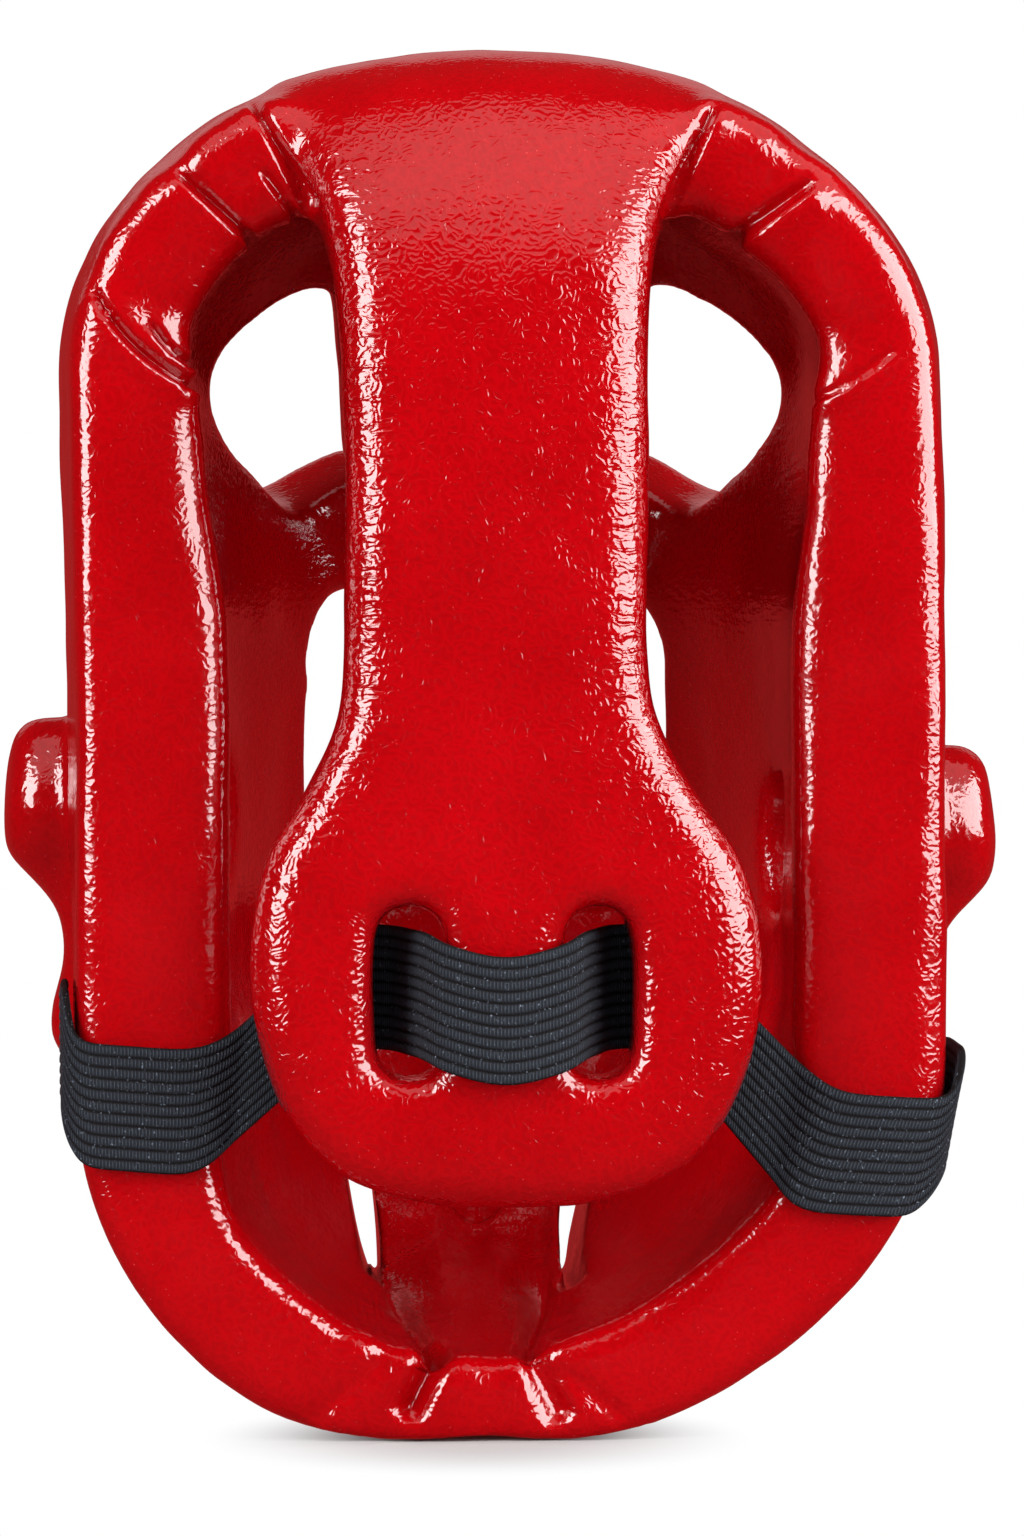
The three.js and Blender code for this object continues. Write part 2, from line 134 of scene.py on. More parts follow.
# %% The outer skin as a function of two parameters
def elevation(angle):
    """How high an angle points, from -90 degrees at the chin to 90 at the crown."""
    return np.arctan2(np.sin(angle), np.abs(np.cos(angle))) / TURN


def rim_radius(angle):
    """Distance from the rim's centre to its edge: straight sides between a crown arc and a jaw arc."""
    across = np.abs(np.cos(angle)) / RIM_HALF_WIDTH
    crown = np.sin(angle) > 0
    straight = np.where(crown, CROWN_SPRING - RIM_CENTRE, RIM_CENTRE - JAW_SPRING)
    rise = np.where(crown, CROWN_RISE, JAW_DROP)
    up = np.abs(np.sin(angle)) / rise
    offset = straight / rise
    a, b = across**2 + up**2, up * offset
    arc = (b + np.sqrt(np.maximum(b * b - a * (offset**2 - 1), 0))) / a
    on_side = np.abs(np.tan(angle)) * RIM_HALF_WIDTH <= straight
    return np.where(on_side, 1 / np.maximum(across, 1e-9), arc)


def outer(angle, share):
    """Outer skin: the rim's outline closes as a superellipse on the way forward, and bellies out."""
    rise = elevation(angle)
    power = 2 / eased(AROUND, "round", rise)
    closing = np.maximum(np.cos(share * np.pi / 2), 1e-6) ** power
    depth = BOWL_DEPTH * np.maximum(np.sin(share * np.pi / 2), 0) ** power
    belly = np.sin(np.pi * np.minimum(depth / SWELL_SPAN, 1))
    radius = rim_radius(angle) * closing + eased(AROUND, "swell", rise) * belly
    z = RIM_CENTRE + radius * np.sin(angle)
    near_rim = np.maximum(0, 1 - depth / BOWL_DEPTH)
    lean = CHIN_SHIFT * np.maximum(0, 1 - z / JAW_SPRING) ** 1.5
    lean = (lean + CROWN_SHIFT * np.maximum(0, z / CROWN_TOP * 2 - 1) ** 1.5) * near_rim
    return np.stack([radius * np.cos(angle) + lean, depth, z], -1)


def unit(vectors):
    """Vectors scaled to length 1."""
    return vectors / np.maximum(np.linalg.norm(vectors, axis=-1, keepdims=True), 1e-12)


def skin_frame(angle, share):
    """Directions at a place of the skin, from small steps: out of the wall, and back towards the rim."""
    step = 1e-3
    inside = np.clip(share, 4 * step, 1 - 4 * step)
    back = unit(outer(angle, inside - step) - outer(angle, inside + step))
    along = unit(outer(angle + step, inside) - outer(angle - step, inside))
    return -unit(np.cross(back, along)), back


print("rim is", 2 * RIM_HALF_WIDTH, "mm wide and", CROWN_TOP + JAW_DROP - JAW_SPRING, "mm tall")

# %% The wall: foam behind the skin, with the broad folds pressed in
FOLDS = table(
    "angle deep half reach",
    (131, 0.6, 4.0, 40),
    (119, 1.4, 4.0, 30),
    (109, 1.2, 4.0, 40),
    (74, 1.2, 4.0, 40),
    (63, 1.0, 4.0, 30),
    (47, 0.4, 4.0, 25),
    (256, 0.6, 4.0, 20),
    (261.5, 1.2, 3.5, 22),
    (272.5, 1.0, 3.5, 22),
    (277, 0.6, 4.0, 20),
)


def dent(angle, depth):
    """Depth of the broad folds: each is a bell across the rim that fades forward over its reach."""
    away = angle[..., None] - FOLDS["angle"] * TURN
    away = np.arctan2(np.sin(away), np.cos(away)) * rim_radius(angle)[..., None]
    fade = np.maximum(0, 1 - np.maximum(depth, 0)[..., None] / FOLDS["reach"])
    return (FOLDS["deep"] * fade * np.exp(-((away / FOLDS["half"]) ** 2))).sum(-1)


def foam(angle, share):
    """Foam of the wall: it goes to the front's thickness with the square of the share."""
    at_rim = eased(AROUND, "foam", elevation(angle))
    return at_rim + (FRONT_FOAM - at_rim) * share * share


def wall(angle, lap, lift=0.0):
    """Skin of the wall: lap 0 to 1 is the outside, 1 to 2 the rounded rim, 2 to 3 the inside."""
    angle, lap = np.broadcast_arrays(angle, lap)
    share = np.where(lap < 1, 1 - lap, np.maximum(lap - 2, 0))
    skin = outer(angle, share)
    out, back = skin_frame(angle, share)
    half = foam(angle, share) / 2
    swing = np.clip(lap - 1, 0, 1) * np.pi
    crown = np.clip((elevation(angle) - CROWN_EDGE_FROM) / CROWN_EDGE_OVER, 0, 1)
    power = np.where(np.cos(swing) > 0, 0.5 + CROWN_EDGE * crown, 0.5)
    side = np.sign(np.cos(swing)) * np.abs(np.cos(swing)) ** power
    end = np.maximum(np.sin(swing), 0) ** power
    move = lift - dent(angle, skin[..., 1]) * np.where(lap > 2, 0.5, 1)
    sideways = side * (half + move) - half
    placed = skin + out * sideways[..., None] + back * (end * (RIM_ROUND + move))[..., None]
    low = np.where(lap > 2, np.clip((JAW_FILL_TOP - placed[..., 2]) / JAW_FILL_FADE, 0, 1), 0)
    narrow = JAW_FILL * low * low * (3 - 2 * low) * np.clip(placed[..., 1] / BOWL_DEPTH, 0, 1)
    placed[..., 0] -= narrow * (placed[..., 0] - CHIN_MIDDLE)
    return placed


print(len(FOLDS["angle"]), "broad folds across the rim")

# %% The bowl as a grid of rings
BOWL_COLUMNS, SIDE_RINGS, RIM_RINGS = 440, 64, 25
PROFILE_START, PROFILE_END = 0.3, 78
SKIN_LIFT = 0.4


def share_at(depth, rise):
    """Share of the way to the front at which the skin reaches a depth, at an elevation."""
    power = 2 / eased(AROUND, "round", rise)
    return np.arcsin((depth / BOWL_DEPTH) ** (1 / power)) / (np.pi / 2)


def even_share(swing, angle):
    """Share of the way forward whose place has an evenly spaced polar angle on the profile."""
    power = 2 / eased(AROUND, "round", elevation(angle))
    return np.arctan(np.tan(swing) ** (1 / power)) / (np.pi / 2)


angles = np.arange(BOWL_COLUMNS)[None, :] * (2 * np.pi / BOWL_COLUMNS)
forward = np.linspace(PROFILE_START, PROFILE_END, SIDE_RINGS)[:, None] * TURN
outside = 1 - even_share(forward[::-1], angles)
rim_end = 1 + np.linspace(0, 1, RIM_RINGS)[:, None] + 0 * angles
inside = 2.0001 + even_share(forward, angles)
bowl_grid = wall(angles, np.concatenate([outside, rim_end, inside]), SKIN_LIFT)
print("bowl of", bowl_grid.shape[0], "rings and", bowl_grid.shape[1], "columns")

# %% [markdown]
# ## From grid to mesh
# A grid of places becomes a closed mesh: neighbouring rings are joined by quads, and an open row of
# rings gets a filled end on both sides. Cutting tools are meshes of the same kind. A voxel remesh turns
# the cut solid into an even net of small quads, and easing that net rounds every cut edge over, just
# as a dipped skin does. The fine shapes come after it, because a remesh would erase them.

# %% Meshes of grids
def ring_faces(count, ring, closed):
    """Quads between neighbouring rings. Open rows get strips across both ends."""
    index = np.arange(count * ring).reshape(count, ring)
    low = index if closed else index[:-1]
    high = np.roll(index, -1, 0) if closed else index[1:]
    faces = [np.stack([low, np.roll(low, -1, 1), np.roll(high, -1, 1), high], -1).reshape(-1, 4)]
    half = ring // 2
    for end, order in () if closed else ((index[0], 1), (index[-1], -1)):
        near, far = end[:half], end[::-1][:half]
        faces.append(np.stack([near[:-1], far[:-1], far[1:], near[1:]], -1)[:, ::order])
    return np.concatenate(faces)


def mesh_of(name, points, faces):
    """Mesh in metres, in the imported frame, from places in millimetres and quads."""
    mesh = bpy.data.meshes.new(name)
    placed = (points.reshape(-1, 3) - (0, RIM_TO_MIDDLE, 0)) * MM
    mesh.vertices.add(len(placed))
    mesh.vertices.foreach_set("co", placed.ravel())
    mesh.loops.add(faces.size)
    mesh.loops.foreach_set("vertex_index", faces.ravel().astype(np.int32))
    mesh.polygons.add(len(faces))
    mesh.polygons.foreach_set("loop_start", np.arange(len(faces), dtype=np.int32) * 4)
    mesh.update(calc_edges=True)
    mesh.validate()
    return mesh


def volume_of(points, faces):
    """Volume inside a closed mesh: the sum of the tetrahedra from the origin to each half quad."""
    a, b, c, d = (points.reshape(-1, 3)[faces[:, k]] for k in range(4))
    return ((np.cross(a, b) * c).sum() + (np.cross(a, c) * d).sum()) / 6


def solid(name, points, closed=False):
    """Object of a grid of rings, with its faces outwards."""
    faces = ring_faces(points.shape[0], points.shape[1], closed)
    if volume_of(points, faces) < 0:
        faces = faces[:, ::-1]
    made = bpy.data.objects.new(name, mesh_of(name, points, faces))
    bpy.context.scene.collection.objects.link(made)
    return made


print("grid helpers ready")

# %% Cuts, the even net and its easing
def even_net(base, cutters, voxel):
    """Places and quads of a solid after its cuts and joins, as an even net of quads one voxel wide."""
    for cutter, work in cutters:
        cut = base.modifiers.new("cut", "BOOLEAN")
        cut.object = cutter
        cut.operation = work
        cut.solver = "MANIFOLD"
    net = base.modifiers.new("net", "REMESH")
    net.mode = "VOXEL"
    net.voxel_size = voxel * MM
    ready = base.evaluated_get(bpy.context.evaluated_depsgraph_get()).to_mesh()
    points = np.empty(len(ready.vertices) * 3)
    ready.vertices.foreach_get("co", points)
    corners = np.empty(len(ready.loops), np.int32)
    ready.loops.foreach_get("vertex_index", corners)
    for used in [base, *(cutter for cutter, _ in cutters)]:
        bpy.data.objects.remove(used)
    return points.reshape(-1, 3) / MM + (0, RIM_TO_MIDDLE, 0), corners.reshape(-1, 4)


def net_edges(faces):
    """Each edge of the quads once."""
    pairs = np.concatenate([faces[:, [0, 1]], faces[:, [1, 2]], faces[:, [2, 3]], faces[:, [3, 0]]])
    return np.unique(np.sort(pairs, 1), axis=0)


def neighbour_mean(values, edges):
    """Mean of the values at the neighbours of each place."""
    total = np.zeros_like(values)
    for axis in range(values.shape[1]):
        total[:, axis] += np.bincount(edges[:, 0], values[edges[:, 1], axis], len(values))
        total[:, axis] += np.bincount(edges[:, 1], values[edges[:, 0], axis], len(values))
    return total / np.bincount(edges.ravel(), minlength=len(values))[:, None]


def rounded(points, edges, passes, share=0.5):
    """Each place moves a share of the way to the mean of its neighbours, pass after pass."""
    for _ in range(passes):
        points = points + share * (neighbour_mean(points, edges) - points)
    return points


def uneven(points, size, seed, count=20):
    """Soft uneven field of about unit size: plane waves of about one length in all directions."""
    rng = np.random.default_rng(seed)
    length = size * rng.uniform(0.7, 1.5, count)
    ways = unit(rng.normal(size=(count, 3))) * (2 * np.pi / length)[:, None]
    phase = rng.uniform(0, 2 * np.pi, count)
    return np.sin(points @ ways.T + phase).sum(1) * np.sqrt(1 / count)


print("net helpers ready")

# %% Pieces
def triangles(mesh):
    """Triangles of a mesh: a face with n corners makes n - 2."""
    return len(mesh.loops) - 2 * len(mesh.polygons)


def piece(mesh, nodes, finish):
    """Finished piece of a mesh: smooth faces, a finish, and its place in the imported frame."""
    mesh.polygons.foreach_set("use_smooth", np.ones(len(mesh.polygons), bool))
    mesh.materials.append(finish)
    made = bpy.data.objects.new(mesh.name, mesh)
    bpy.context.scene.collection.objects.link(made)
    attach(made, "root")
    if nodes:
        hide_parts(*nodes)
    print(mesh.name, "has", len(mesh.vertices), "places and", triangles(mesh), "triangles")
    return made


print("piece helpers ready")

# %% [markdown]
# ## Openings through the wall
# Openings are cut through the real pads before the dip. Each is drawn here as a smooth outline seen
# from the front. The face and the vents are carried square through the wall, and the mouth slits go
# straight forward through the jaw. An outline starts at a tip or a corner, so the strips across its
# cutter's ends stay inside it.

# %% Cutters for the face, the vents and the mouth slits
FACE_OUTLINE = table("x z", (0, 182), (36, 181), (56, 168), (59, 144), (50, 117), (28, 105.5), (0, 110))
VENT_OUTLINE = table(
    "x z",
    (14, 216), (36, 212), (55, 202), (71, 202), (82, 215),
    (79, 233), (65, 249), (44, 260), (14, 263),
)
SLIT_OUTLINE = table(
    "x z",
    (20, 15), (20.8, 30), (22.3, 45), (24.3, 60), (27, 65),
    (29.7, 60), (27.8, 45), (25, 30), (21.6, 15),
)
CUT_LIFTS = (32, 6, -14, -42)
SLIT_DEPTHS = (70, 210)
FACE_SHIFT, SLIT_SHIFT = -2.5, -5


def closed_curve(points, steps):
    """Smooth closed curve through places: a Catmull-Rom curve that runs round."""
    p, q, r, s = (np.roll(points, 1 - k, 0)[:, None, :] for k in range(4))
    u = (np.arange(steps) / steps)[None, :, None]
    return catmull_rom(p, q, r, s, u).reshape(-1, points.shape[1])


def on_skin(x, z, lift):
    """Place on the skin seen at x and z from the front, found by halving, and lifted off the skin."""
    angle = np.arctan2(z - RIM_CENTRE, x)
    radius = np.hypot(x, z - RIM_CENTRE)
    near, far = np.full_like(x, 0.2), np.ones_like(x)
    for _ in range(40):
        share = (near + far) / 2
        skin = outer(angle, share)
        short = np.hypot(skin[..., 0], skin[..., 2] - RIM_CENTRE) > radius
        near, far = np.where(short, share, near), np.where(short, far, share)
    return outer(angle, near) + skin_frame(angle, near)[0] * lift


def through_wall(outline, side=1, shift=0, steps=8):
    """Cutter square to the wall through an outline, as it is or mirrored, and shifted sideways."""
    spots = closed_curve(np.stack([outline["x"] * side + shift, outline["z"]], 1), steps)
    return solid("cutter", np.array([on_skin(spots[:, 0], spots[:, 1], lift) for lift in CUT_LIFTS]))


def through_jaw(side):
    """Cutter of a mouth slit, straight forward through the chin."""
    spots = closed_curve(np.stack([SLIT_OUTLINE["x"] * side + SLIT_SHIFT, SLIT_OUTLINE["z"]], 1), 8)
    return solid("cutter", np.array([np.insert(spots, 1, depth, 1) for depth in SLIT_DEPTHS]))


mirrored = {key: np.concatenate([FACE_OUTLINE[key], FACE_OUTLINE[key][-2:0:-1]]) for key in "xz"}
mirrored["x"][len(FACE_OUTLINE["x"]):] *= -1
openings = [through_wall(mirrored, 1, FACE_SHIFT)]
openings += [through_wall(VENT_OUTLINE, side) for side in (-1, 1)]
openings += [through_jaw(side) for side in (-1, 1)]
print(len(openings), "openings drawn")

# %% [markdown]
# ## The crown strap
# One flat strip of foam runs from the forehead over the crown, hangs down behind the head as a tongue
# and ends in a broad pad. A bevelled curve could make a strip, but this one changes in width, thickness
# and arch along its way, so its middle line and its section are one table, a row per place.

# %% The strap as a section carried along its middle line
CROWN_STRAP = table(
    "depth height half_width shift thick edge sag",
    (121, 211, 33, 0, 22, 2, 6),
    (109, 230, 33, -1, 22, 2, 7),
    (92, 251.5, 34, -2, 22, 2, 8),
    (69, 268, 37, -3, 22, 2, 8),
    (46, 277.3, 42, -3, 22, 2, 7.5),
    (23, 276, 46, -3, 22, 2, 7),
    (5, 269, 44, -3.5, 22, 4, 6),
    (-7, 255, 36, -4.5, 22, 6, 4),
    (-14, 239, 32, -4.5, 22, 8, 2),
    (-17, 219, 30.5, -4, 22, 8, 1),
    (-18, 188, 30, -4, 22, 8, 1),
    (-18, 158, 30, -4, 22, 8, 1),
    (-18, 145, 32.5, -3.5, 22, 8, 1),
    (-18, 131, 39.5, -3, 22, 8, 1),
    (-18, 119, 47, -2.5, 22, 8, 1),
    (-18, 106, 50.6, -2, 22, 8, 1),
    (-18, 91, 51, -2, 22, 8, 1),
    (-18, 78, 48.6, -1.5, 22, 8, 1),
    (-18, 67, 44, -1.5, 22, 8, 1),
    (-18, 58, 37, -1.5, 21, 8, 1),
    (-18, 52, 27, -1.5, 17, 8, 1),
    (-18, 49, 14, -1.5, 8, 8, 1),
)
PAD_X, PAD_HEIGHT = -2.5, 92
SLOT_WIDTH, SLOT_HEIGHT, SLOT_CORNER, SLOT_SPACING = 14, 35, 5, 38
SLOT_DEPTHS = (-45, 5)


def strip_section(half_width, half_thick, edge, flats=12, arcs=7):
    """Rounded rectangle, as places across and through a strip: four arcs joined by straight runs."""
    arc = np.linspace(0, 90, arcs)
    run = np.linspace(1, -1, flats + 2)[1:-1]
    round_ = np.minimum(edge, 0.9 * np.minimum(half_thick, half_width))[..., None]
    wide, tall = half_width[..., None] - round_, half_thick[..., None] - round_
    across, through = [], []
    for k, (right, top) in enumerate(((1, 1), (-1, 1), (-1, -1), (1, -1))):
        swing = (arc + 90 * k) * TURN
        across.append(right * wide + round_ * np.cos(swing))
        through.append(top * tall + round_ * np.sin(swing))
        level = k % 2 == 0
        across.append(right * run * wide if level else right * (wide + round_) + 0 * run)
        through.append(top * (tall + round_) + 0 * run if level else top * run * tall)
    return np.concatenate(across, -1), np.concatenate(through, -1)


def crown_strap(grow=0.0, deepen=0.0, steps=8):
    """Rings of the strap, arched by the square of the share across, grown sideways and deepened."""
    last = len(CROWN_STRAP["depth"]) - 1
    at = np.linspace(0, last, last * steps + 1)
    value = {key: curved(CROWN_STRAP, key, at) for key in CROWN_STRAP}
    ahead, behind = np.minimum(at + 0.25, last), np.maximum(at - 0.25, 0)
    keys = ("depth", "height")
    run = [curved(CROWN_STRAP, key, ahead) - curved(CROWN_STRAP, key, behind) for key in keys]
    run = unit(np.stack([0 * at, *run], 1))
    out = np.stack([0 * at, run[:, 2], -run[:, 1]], 1)
    middle = np.stack([value["shift"], value["depth"], value["height"]], 1)
    middle[0] -= run[0] * grow
    middle[-1] += run[-1] * grow
    across, through = strip_section(value["half_width"] + grow, value["thick"] / 2 + deepen, value["edge"])
    arch = value["sag"][:, None] * (across / value["half_width"][:, None]) ** 2
    rings = middle[:, None, :] + out[:, None, :] * (through - arch)[..., None]
    rings[..., 0] += across
    return rings


def slot_cutter(side):
    """Upright slot through the pad with rounded corners."""
    across, through = strip_section(np.array(SLOT_WIDTH / 2), np.array(SLOT_HEIGHT / 2), SLOT_CORNER)
    x = PAD_X + side * SLOT_SPACING / 2 + across
    z = PAD_HEIGHT + through
    return solid("cutter", np.array([np.stack([x, 0 * x + y, z], 1) for y in SLOT_DEPTHS]))


print("strap of", len(crown_strap()), "rings")

# %% [markdown]
# ## Finishes
# The vinyl skin is a wet dip: a deep red, glossy coat that shrinks as it dries, so its surface is full
# of short worm-like wrinkles a few millimetres long over a finer orange peel. The elastic is a knitted
# polyester band with rubber cores: dull grey cords side by side, with painted shade darkening the valleys
# between them. Its cross threads are drawn about as fine as the render can show.

# %% Colours and nodes
def linear(code):
    """Linear colour of an sRGB hex value."""
    value = np.array([int(code[i:i + 2], 16) for i in (1, 3, 5)]) / 255
    low, high = value / 12.92, ((value + 0.055) / 1.055) ** 2.4
    return (*np.where(value <= 0.04045, low, high).tolist(), 1.0)


def add(tree, kind, settings=None, feeds=None):
    """Adds one node: settings are its own values, feeds are numbers or sockets for its inputs."""
    made = tree.nodes.new(kind)
    for name, value in (settings or {}).items():
        setattr(made, name, value)
    for name, value in (feeds or {}).items():
        if isinstance(value, bpy.types.NodeSocket):
            tree.links.new(value, made.inputs[name])
        else:
            made.inputs[name].default_value = value
    return made


def finish(name):
    """New material with an empty node tree and its surface shader."""
    made = bpy.data.materials.new(name)
    made.use_nodes = True
    tree = made.node_tree
    tree.nodes.clear()
    shader = add(tree, "ShaderNodeBsdfPrincipled")
    add(tree, "ShaderNodeOutputMaterial", feeds={"Surface": shader.outputs[0]})
    return made, tree, shader


print("colour and node helpers ready")

# %% Dipped vinyl
WORM_MM, PEEL_MM, CLOUD_MM, SPECK_MM = 1.5, 0.7, 30.0, 1.8
STREAK_MM, STREAK_LONG_MM = 1.3, 16.0
PUCKER_MM, PUCKER_LONG_MM = 1.5, 8.0
SWIRL_MM, SWIRL_REACH_MM = 5.0, 3.0
WORM_DEEP, PEEL_DEEP, STREAK_DEEP, PUCKER_DEEP = 0.11, 0.07, 0.22, 0.45
PEEL_STRENGTH, SPECK_SHARE = 0.35, 0.07


def dipped_vinyl():
    """Red vinyl dip: gloss broken by worm-like wrinkles and orange peel, streaked where it stretches, with
    painted shade in the wrinkles' valleys.
    """
    made, tree, shader = finish("dipped_vinyl_red")
    place = add(tree, "ShaderNodeTexCoord").outputs["Object"]
    inside = add(tree, "ShaderNodeAttribute", {"attribute_name": "inside"}).outputs["Fac"]
    pucker = add(tree, "ShaderNodeAttribute", {"attribute_name": "pucker"}).outputs["Fac"]
    wrinkle = add(tree, "ShaderNodeAttribute", {"attribute_name": "wrinkle"}).outputs["Fac"]

    def noise(size, detail, kind="FBM", along=place):
        sizes = np.broadcast_to(np.array(size, float), 3) * MM
        scaled = add(tree, "ShaderNodeMapping", feeds={"Vector": along, "Scale": tuple(1 / sizes)})
        feeds = {"Vector": scaled.outputs[0], "Scale": 1.0, "Detail": detail}
        feeds.update({"Offset": 1.0} if kind != "FBM" else {})
        return add(tree, "ShaderNodeTexNoise", {"noise_type": kind}, feeds).outputs["Fac"]

    def bump(height, strength, distance, normal=None):
        feeds = {"Height": height, "Strength": strength, "Distance": distance * MM}
        feeds.update({"Normal": normal} if normal else {})
        return add(tree, "ShaderNodeBump", feeds=feeds).outputs[0]

    swirl = add(tree, "ShaderNodeTexNoise",
                feeds={"Vector": place, "Scale": 1 / (SWIRL_MM * MM), "Detail": 1.0})
    moved = add(tree, "ShaderNodeVectorMath", {"operation": "SCALE"},
                {0: swirl.outputs["Color"], "Scale": SWIRL_REACH_MM * MM})
    bent = add(tree, "ShaderNodeVectorMath", {"operation": "ADD"},
               {0: place, 1: moved.outputs[0]}).outputs[0]
    cloud = noise(CLOUD_MM, 3.0)
    worm = noise(WORM_MM, 0.0, "RIDGED_MULTIFRACTAL", bent)
    level = bump(worm, wrinkle, WORM_DEEP)
    level = bump(noise(PEEL_MM, 2.0), PEEL_STRENGTH, PEEL_DEEP, level)
    level = bump(noise((STREAK_MM, STREAK_LONG_MM, STREAK_MM), 2.0), inside, STREAK_DEEP, level)
    gathers = noise((PUCKER_LONG_MM, PUCKER_LONG_MM, PUCKER_MM), 2.0, "FBM", bent)
    level = bump(gathers, pucker, PUCKER_DEEP, level)
    grain = add(tree, "ShaderNodeTexVoronoi", feeds={"Vector": place, "Scale": 1 / (SPECK_MM * MM)})
    speck = add(tree, "ShaderNodeMath", {"operation": "LESS_THAN"},
                {0: grain.outputs["Distance"], 1: SPECK_SHARE})
    tone = add(tree, "ShaderNodeValToRGB", feeds={"Fac": cloud})
    tone.color_ramp.elements[0].position = 0.3
    tone.color_ramp.elements[0].color = linear("#870004")
    tone.color_ramp.elements[1].position = 0.7
    tone.color_ramp.elements[1].color = linear("#930005")
    dotted = add(tree, "ShaderNodeMix", {"data_type": "RGBA"},
                 {0: speck.outputs[0], 6: tone.outputs["Color"], 7: linear("#b43a3c")})
    # Painted shade: the base colour is multiplied a little darker away from the worm wrinkles' ridges,
    # standing in for shade in their valleys.
    thin = add(tree, "ShaderNodeValToRGB", feeds={"Fac": worm})
    thin.color_ramp.elements[0].position = 0.35
    thin.color_ramp.elements[0].color = linear("#f0f0f0")
    thin.color_ramp.elements[1].position = 0.95
    wrinkle_shaded = add(tree, "ShaderNodeMix", {"data_type": "RGBA", "blend_type": "MULTIPLY"},
               {0: 1.0, 6: dotted.outputs[2], 7: thin.outputs["Color"]})
    gloss = add(tree, "ShaderNodeMapRange", feeds={"Value": cloud, "To Min": 0.10, "To Max": 0.18})
    tree.links.new(wrinkle_shaded.outputs[2], shader.inputs["Base Color"])
    tree.links.new(gloss.outputs[0], shader.inputs["Roughness"])
    tree.links.new(level, shader.inputs["Normal"])
    tree.links.new(level, shader.inputs["Coat Normal"])
    shader.inputs["IOR"].default_value = 1.54
    shader.inputs["Specular IOR Level"].default_value = 0.3
    shader.inputs["Coat Weight"].default_value = 1.0
    shader.inputs["Coat Roughness"].default_value = 0.06
    return made


vinyl = dipped_vinyl()
print("finish:", vinyl.name)

# %% Ribbed elastic
RIBS, ELASTIC_WIDTH, ELASTIC_THICK = 11, 25.4, 1.8
KNIT_MM, FUZZ_MM = 0.7, 0.6
KNIT_DEEP, FUZZ_DEEP = 0.3, 0.2


def ribbed_elastic():
    """Slate grey knitted elastic: dull cords, painted shade in the valleys, fine cross threads and pale
    flecks.
    """
    made, tree, shader = finish("knitted_elastic_grey")
    on_band = add(tree, "ShaderNodeUVMap", {"uv_map": "band"})
    over = add(tree, "ShaderNodeSeparateXYZ", feeds={0: on_band.outputs[0]})
    count = add(tree, "ShaderNodeMath", {"operation": "MULTIPLY"}, {0: over.outputs["Y"], 1: RIBS * np.pi})
    wave = add(tree, "ShaderNodeMath", {"operation": "SINE"}, {0: count.outputs[0]})
    cord = add(tree, "ShaderNodeMath", {"operation": "ABSOLUTE"}, {0: wave.outputs[0]})
    turns = add(tree, "ShaderNodeMath", {"operation": "MULTIPLY"},
                {0: over.outputs["X"], 1: 2 * np.pi / KNIT_MM})
    thread = add(tree, "ShaderNodeMath", {"operation": "SINE"}, {0: turns.outputs[0]})
    place = add(tree, "ShaderNodeTexCoord").outputs["Object"]
    fuzz = add(tree, "ShaderNodeTexNoise",
               feeds={"Vector": place, "Scale": 1 / (FUZZ_MM * MM), "Detail": 3.0})
    # Painted shade: the cords' grey falls to near black in the valleys between them, where shade falls.
    tone = add(tree, "ShaderNodeValToRGB", feeds={"Fac": cord.outputs[0]})
    tone.color_ramp.elements[0].position = 0.12
    tone.color_ramp.elements[0].color = linear("#050506")
    tone.color_ramp.elements[1].position = 0.65
    tone.color_ramp.elements[1].color = linear("#181c21")
    height = add(tree, "ShaderNodeMath", {"operation": "MULTIPLY"},
                 {0: thread.outputs[0], 1: cord.outputs[0]})
    tick = add(tree, "ShaderNodeMapRange",
               feeds={"Value": height.outputs[0], "From Min": 0.25, "To Max": 0.6})
    crossed = add(tree, "ShaderNodeMix", {"data_type": "RGBA"},
                  {0: tick.outputs[0], 6: tone.outputs["Color"], 7: linear("#3d454f")})
    fleck = add(tree, "ShaderNodeMapRange",
                feeds={"Value": fuzz.outputs["Fac"], "From Min": 0.64, "From Max": 0.76})
    mixed = add(tree, "ShaderNodeMix", {"data_type": "RGBA"},
                {0: fleck.outputs[0], 6: crossed.outputs[2], 7: linear("#5f6975")})
    first = add(tree, "ShaderNodeBump",
                feeds={"Strength": 0.6, "Distance": KNIT_DEEP * MM, "Height": height.outputs[0]})
    second = add(tree, "ShaderNodeBump",
                 feeds={"Strength": 0.4, "Distance": FUZZ_DEEP * MM, "Height": fuzz.outputs[0],
                        "Normal": first.outputs[0]})
    tree.links.new(mixed.outputs[2], shader.inputs["Base Color"])
    tree.links.new(second.outputs[0], shader.inputs["Normal"])
    shader.inputs["Roughness"].default_value = 0.78
    shader.inputs["Specular IOR Level"].default_value = 0.15
    return made


elastic_finish = ribbed_elastic()
print("finish:", elastic_finish.name)

# %% [markdown]
# ## The dipped foam
# The real pads are glued together before the dip, so one skin runs over the bowl, the crown strap and
# the ear pads and fills the corners between them. That is why they become one net here: the bowl is
# cut, the strap and the pads are joined to it, and a voxel remesh makes an even net of small quads.
# Easing the net rounds each edge over, more in the places where the foam is softer.

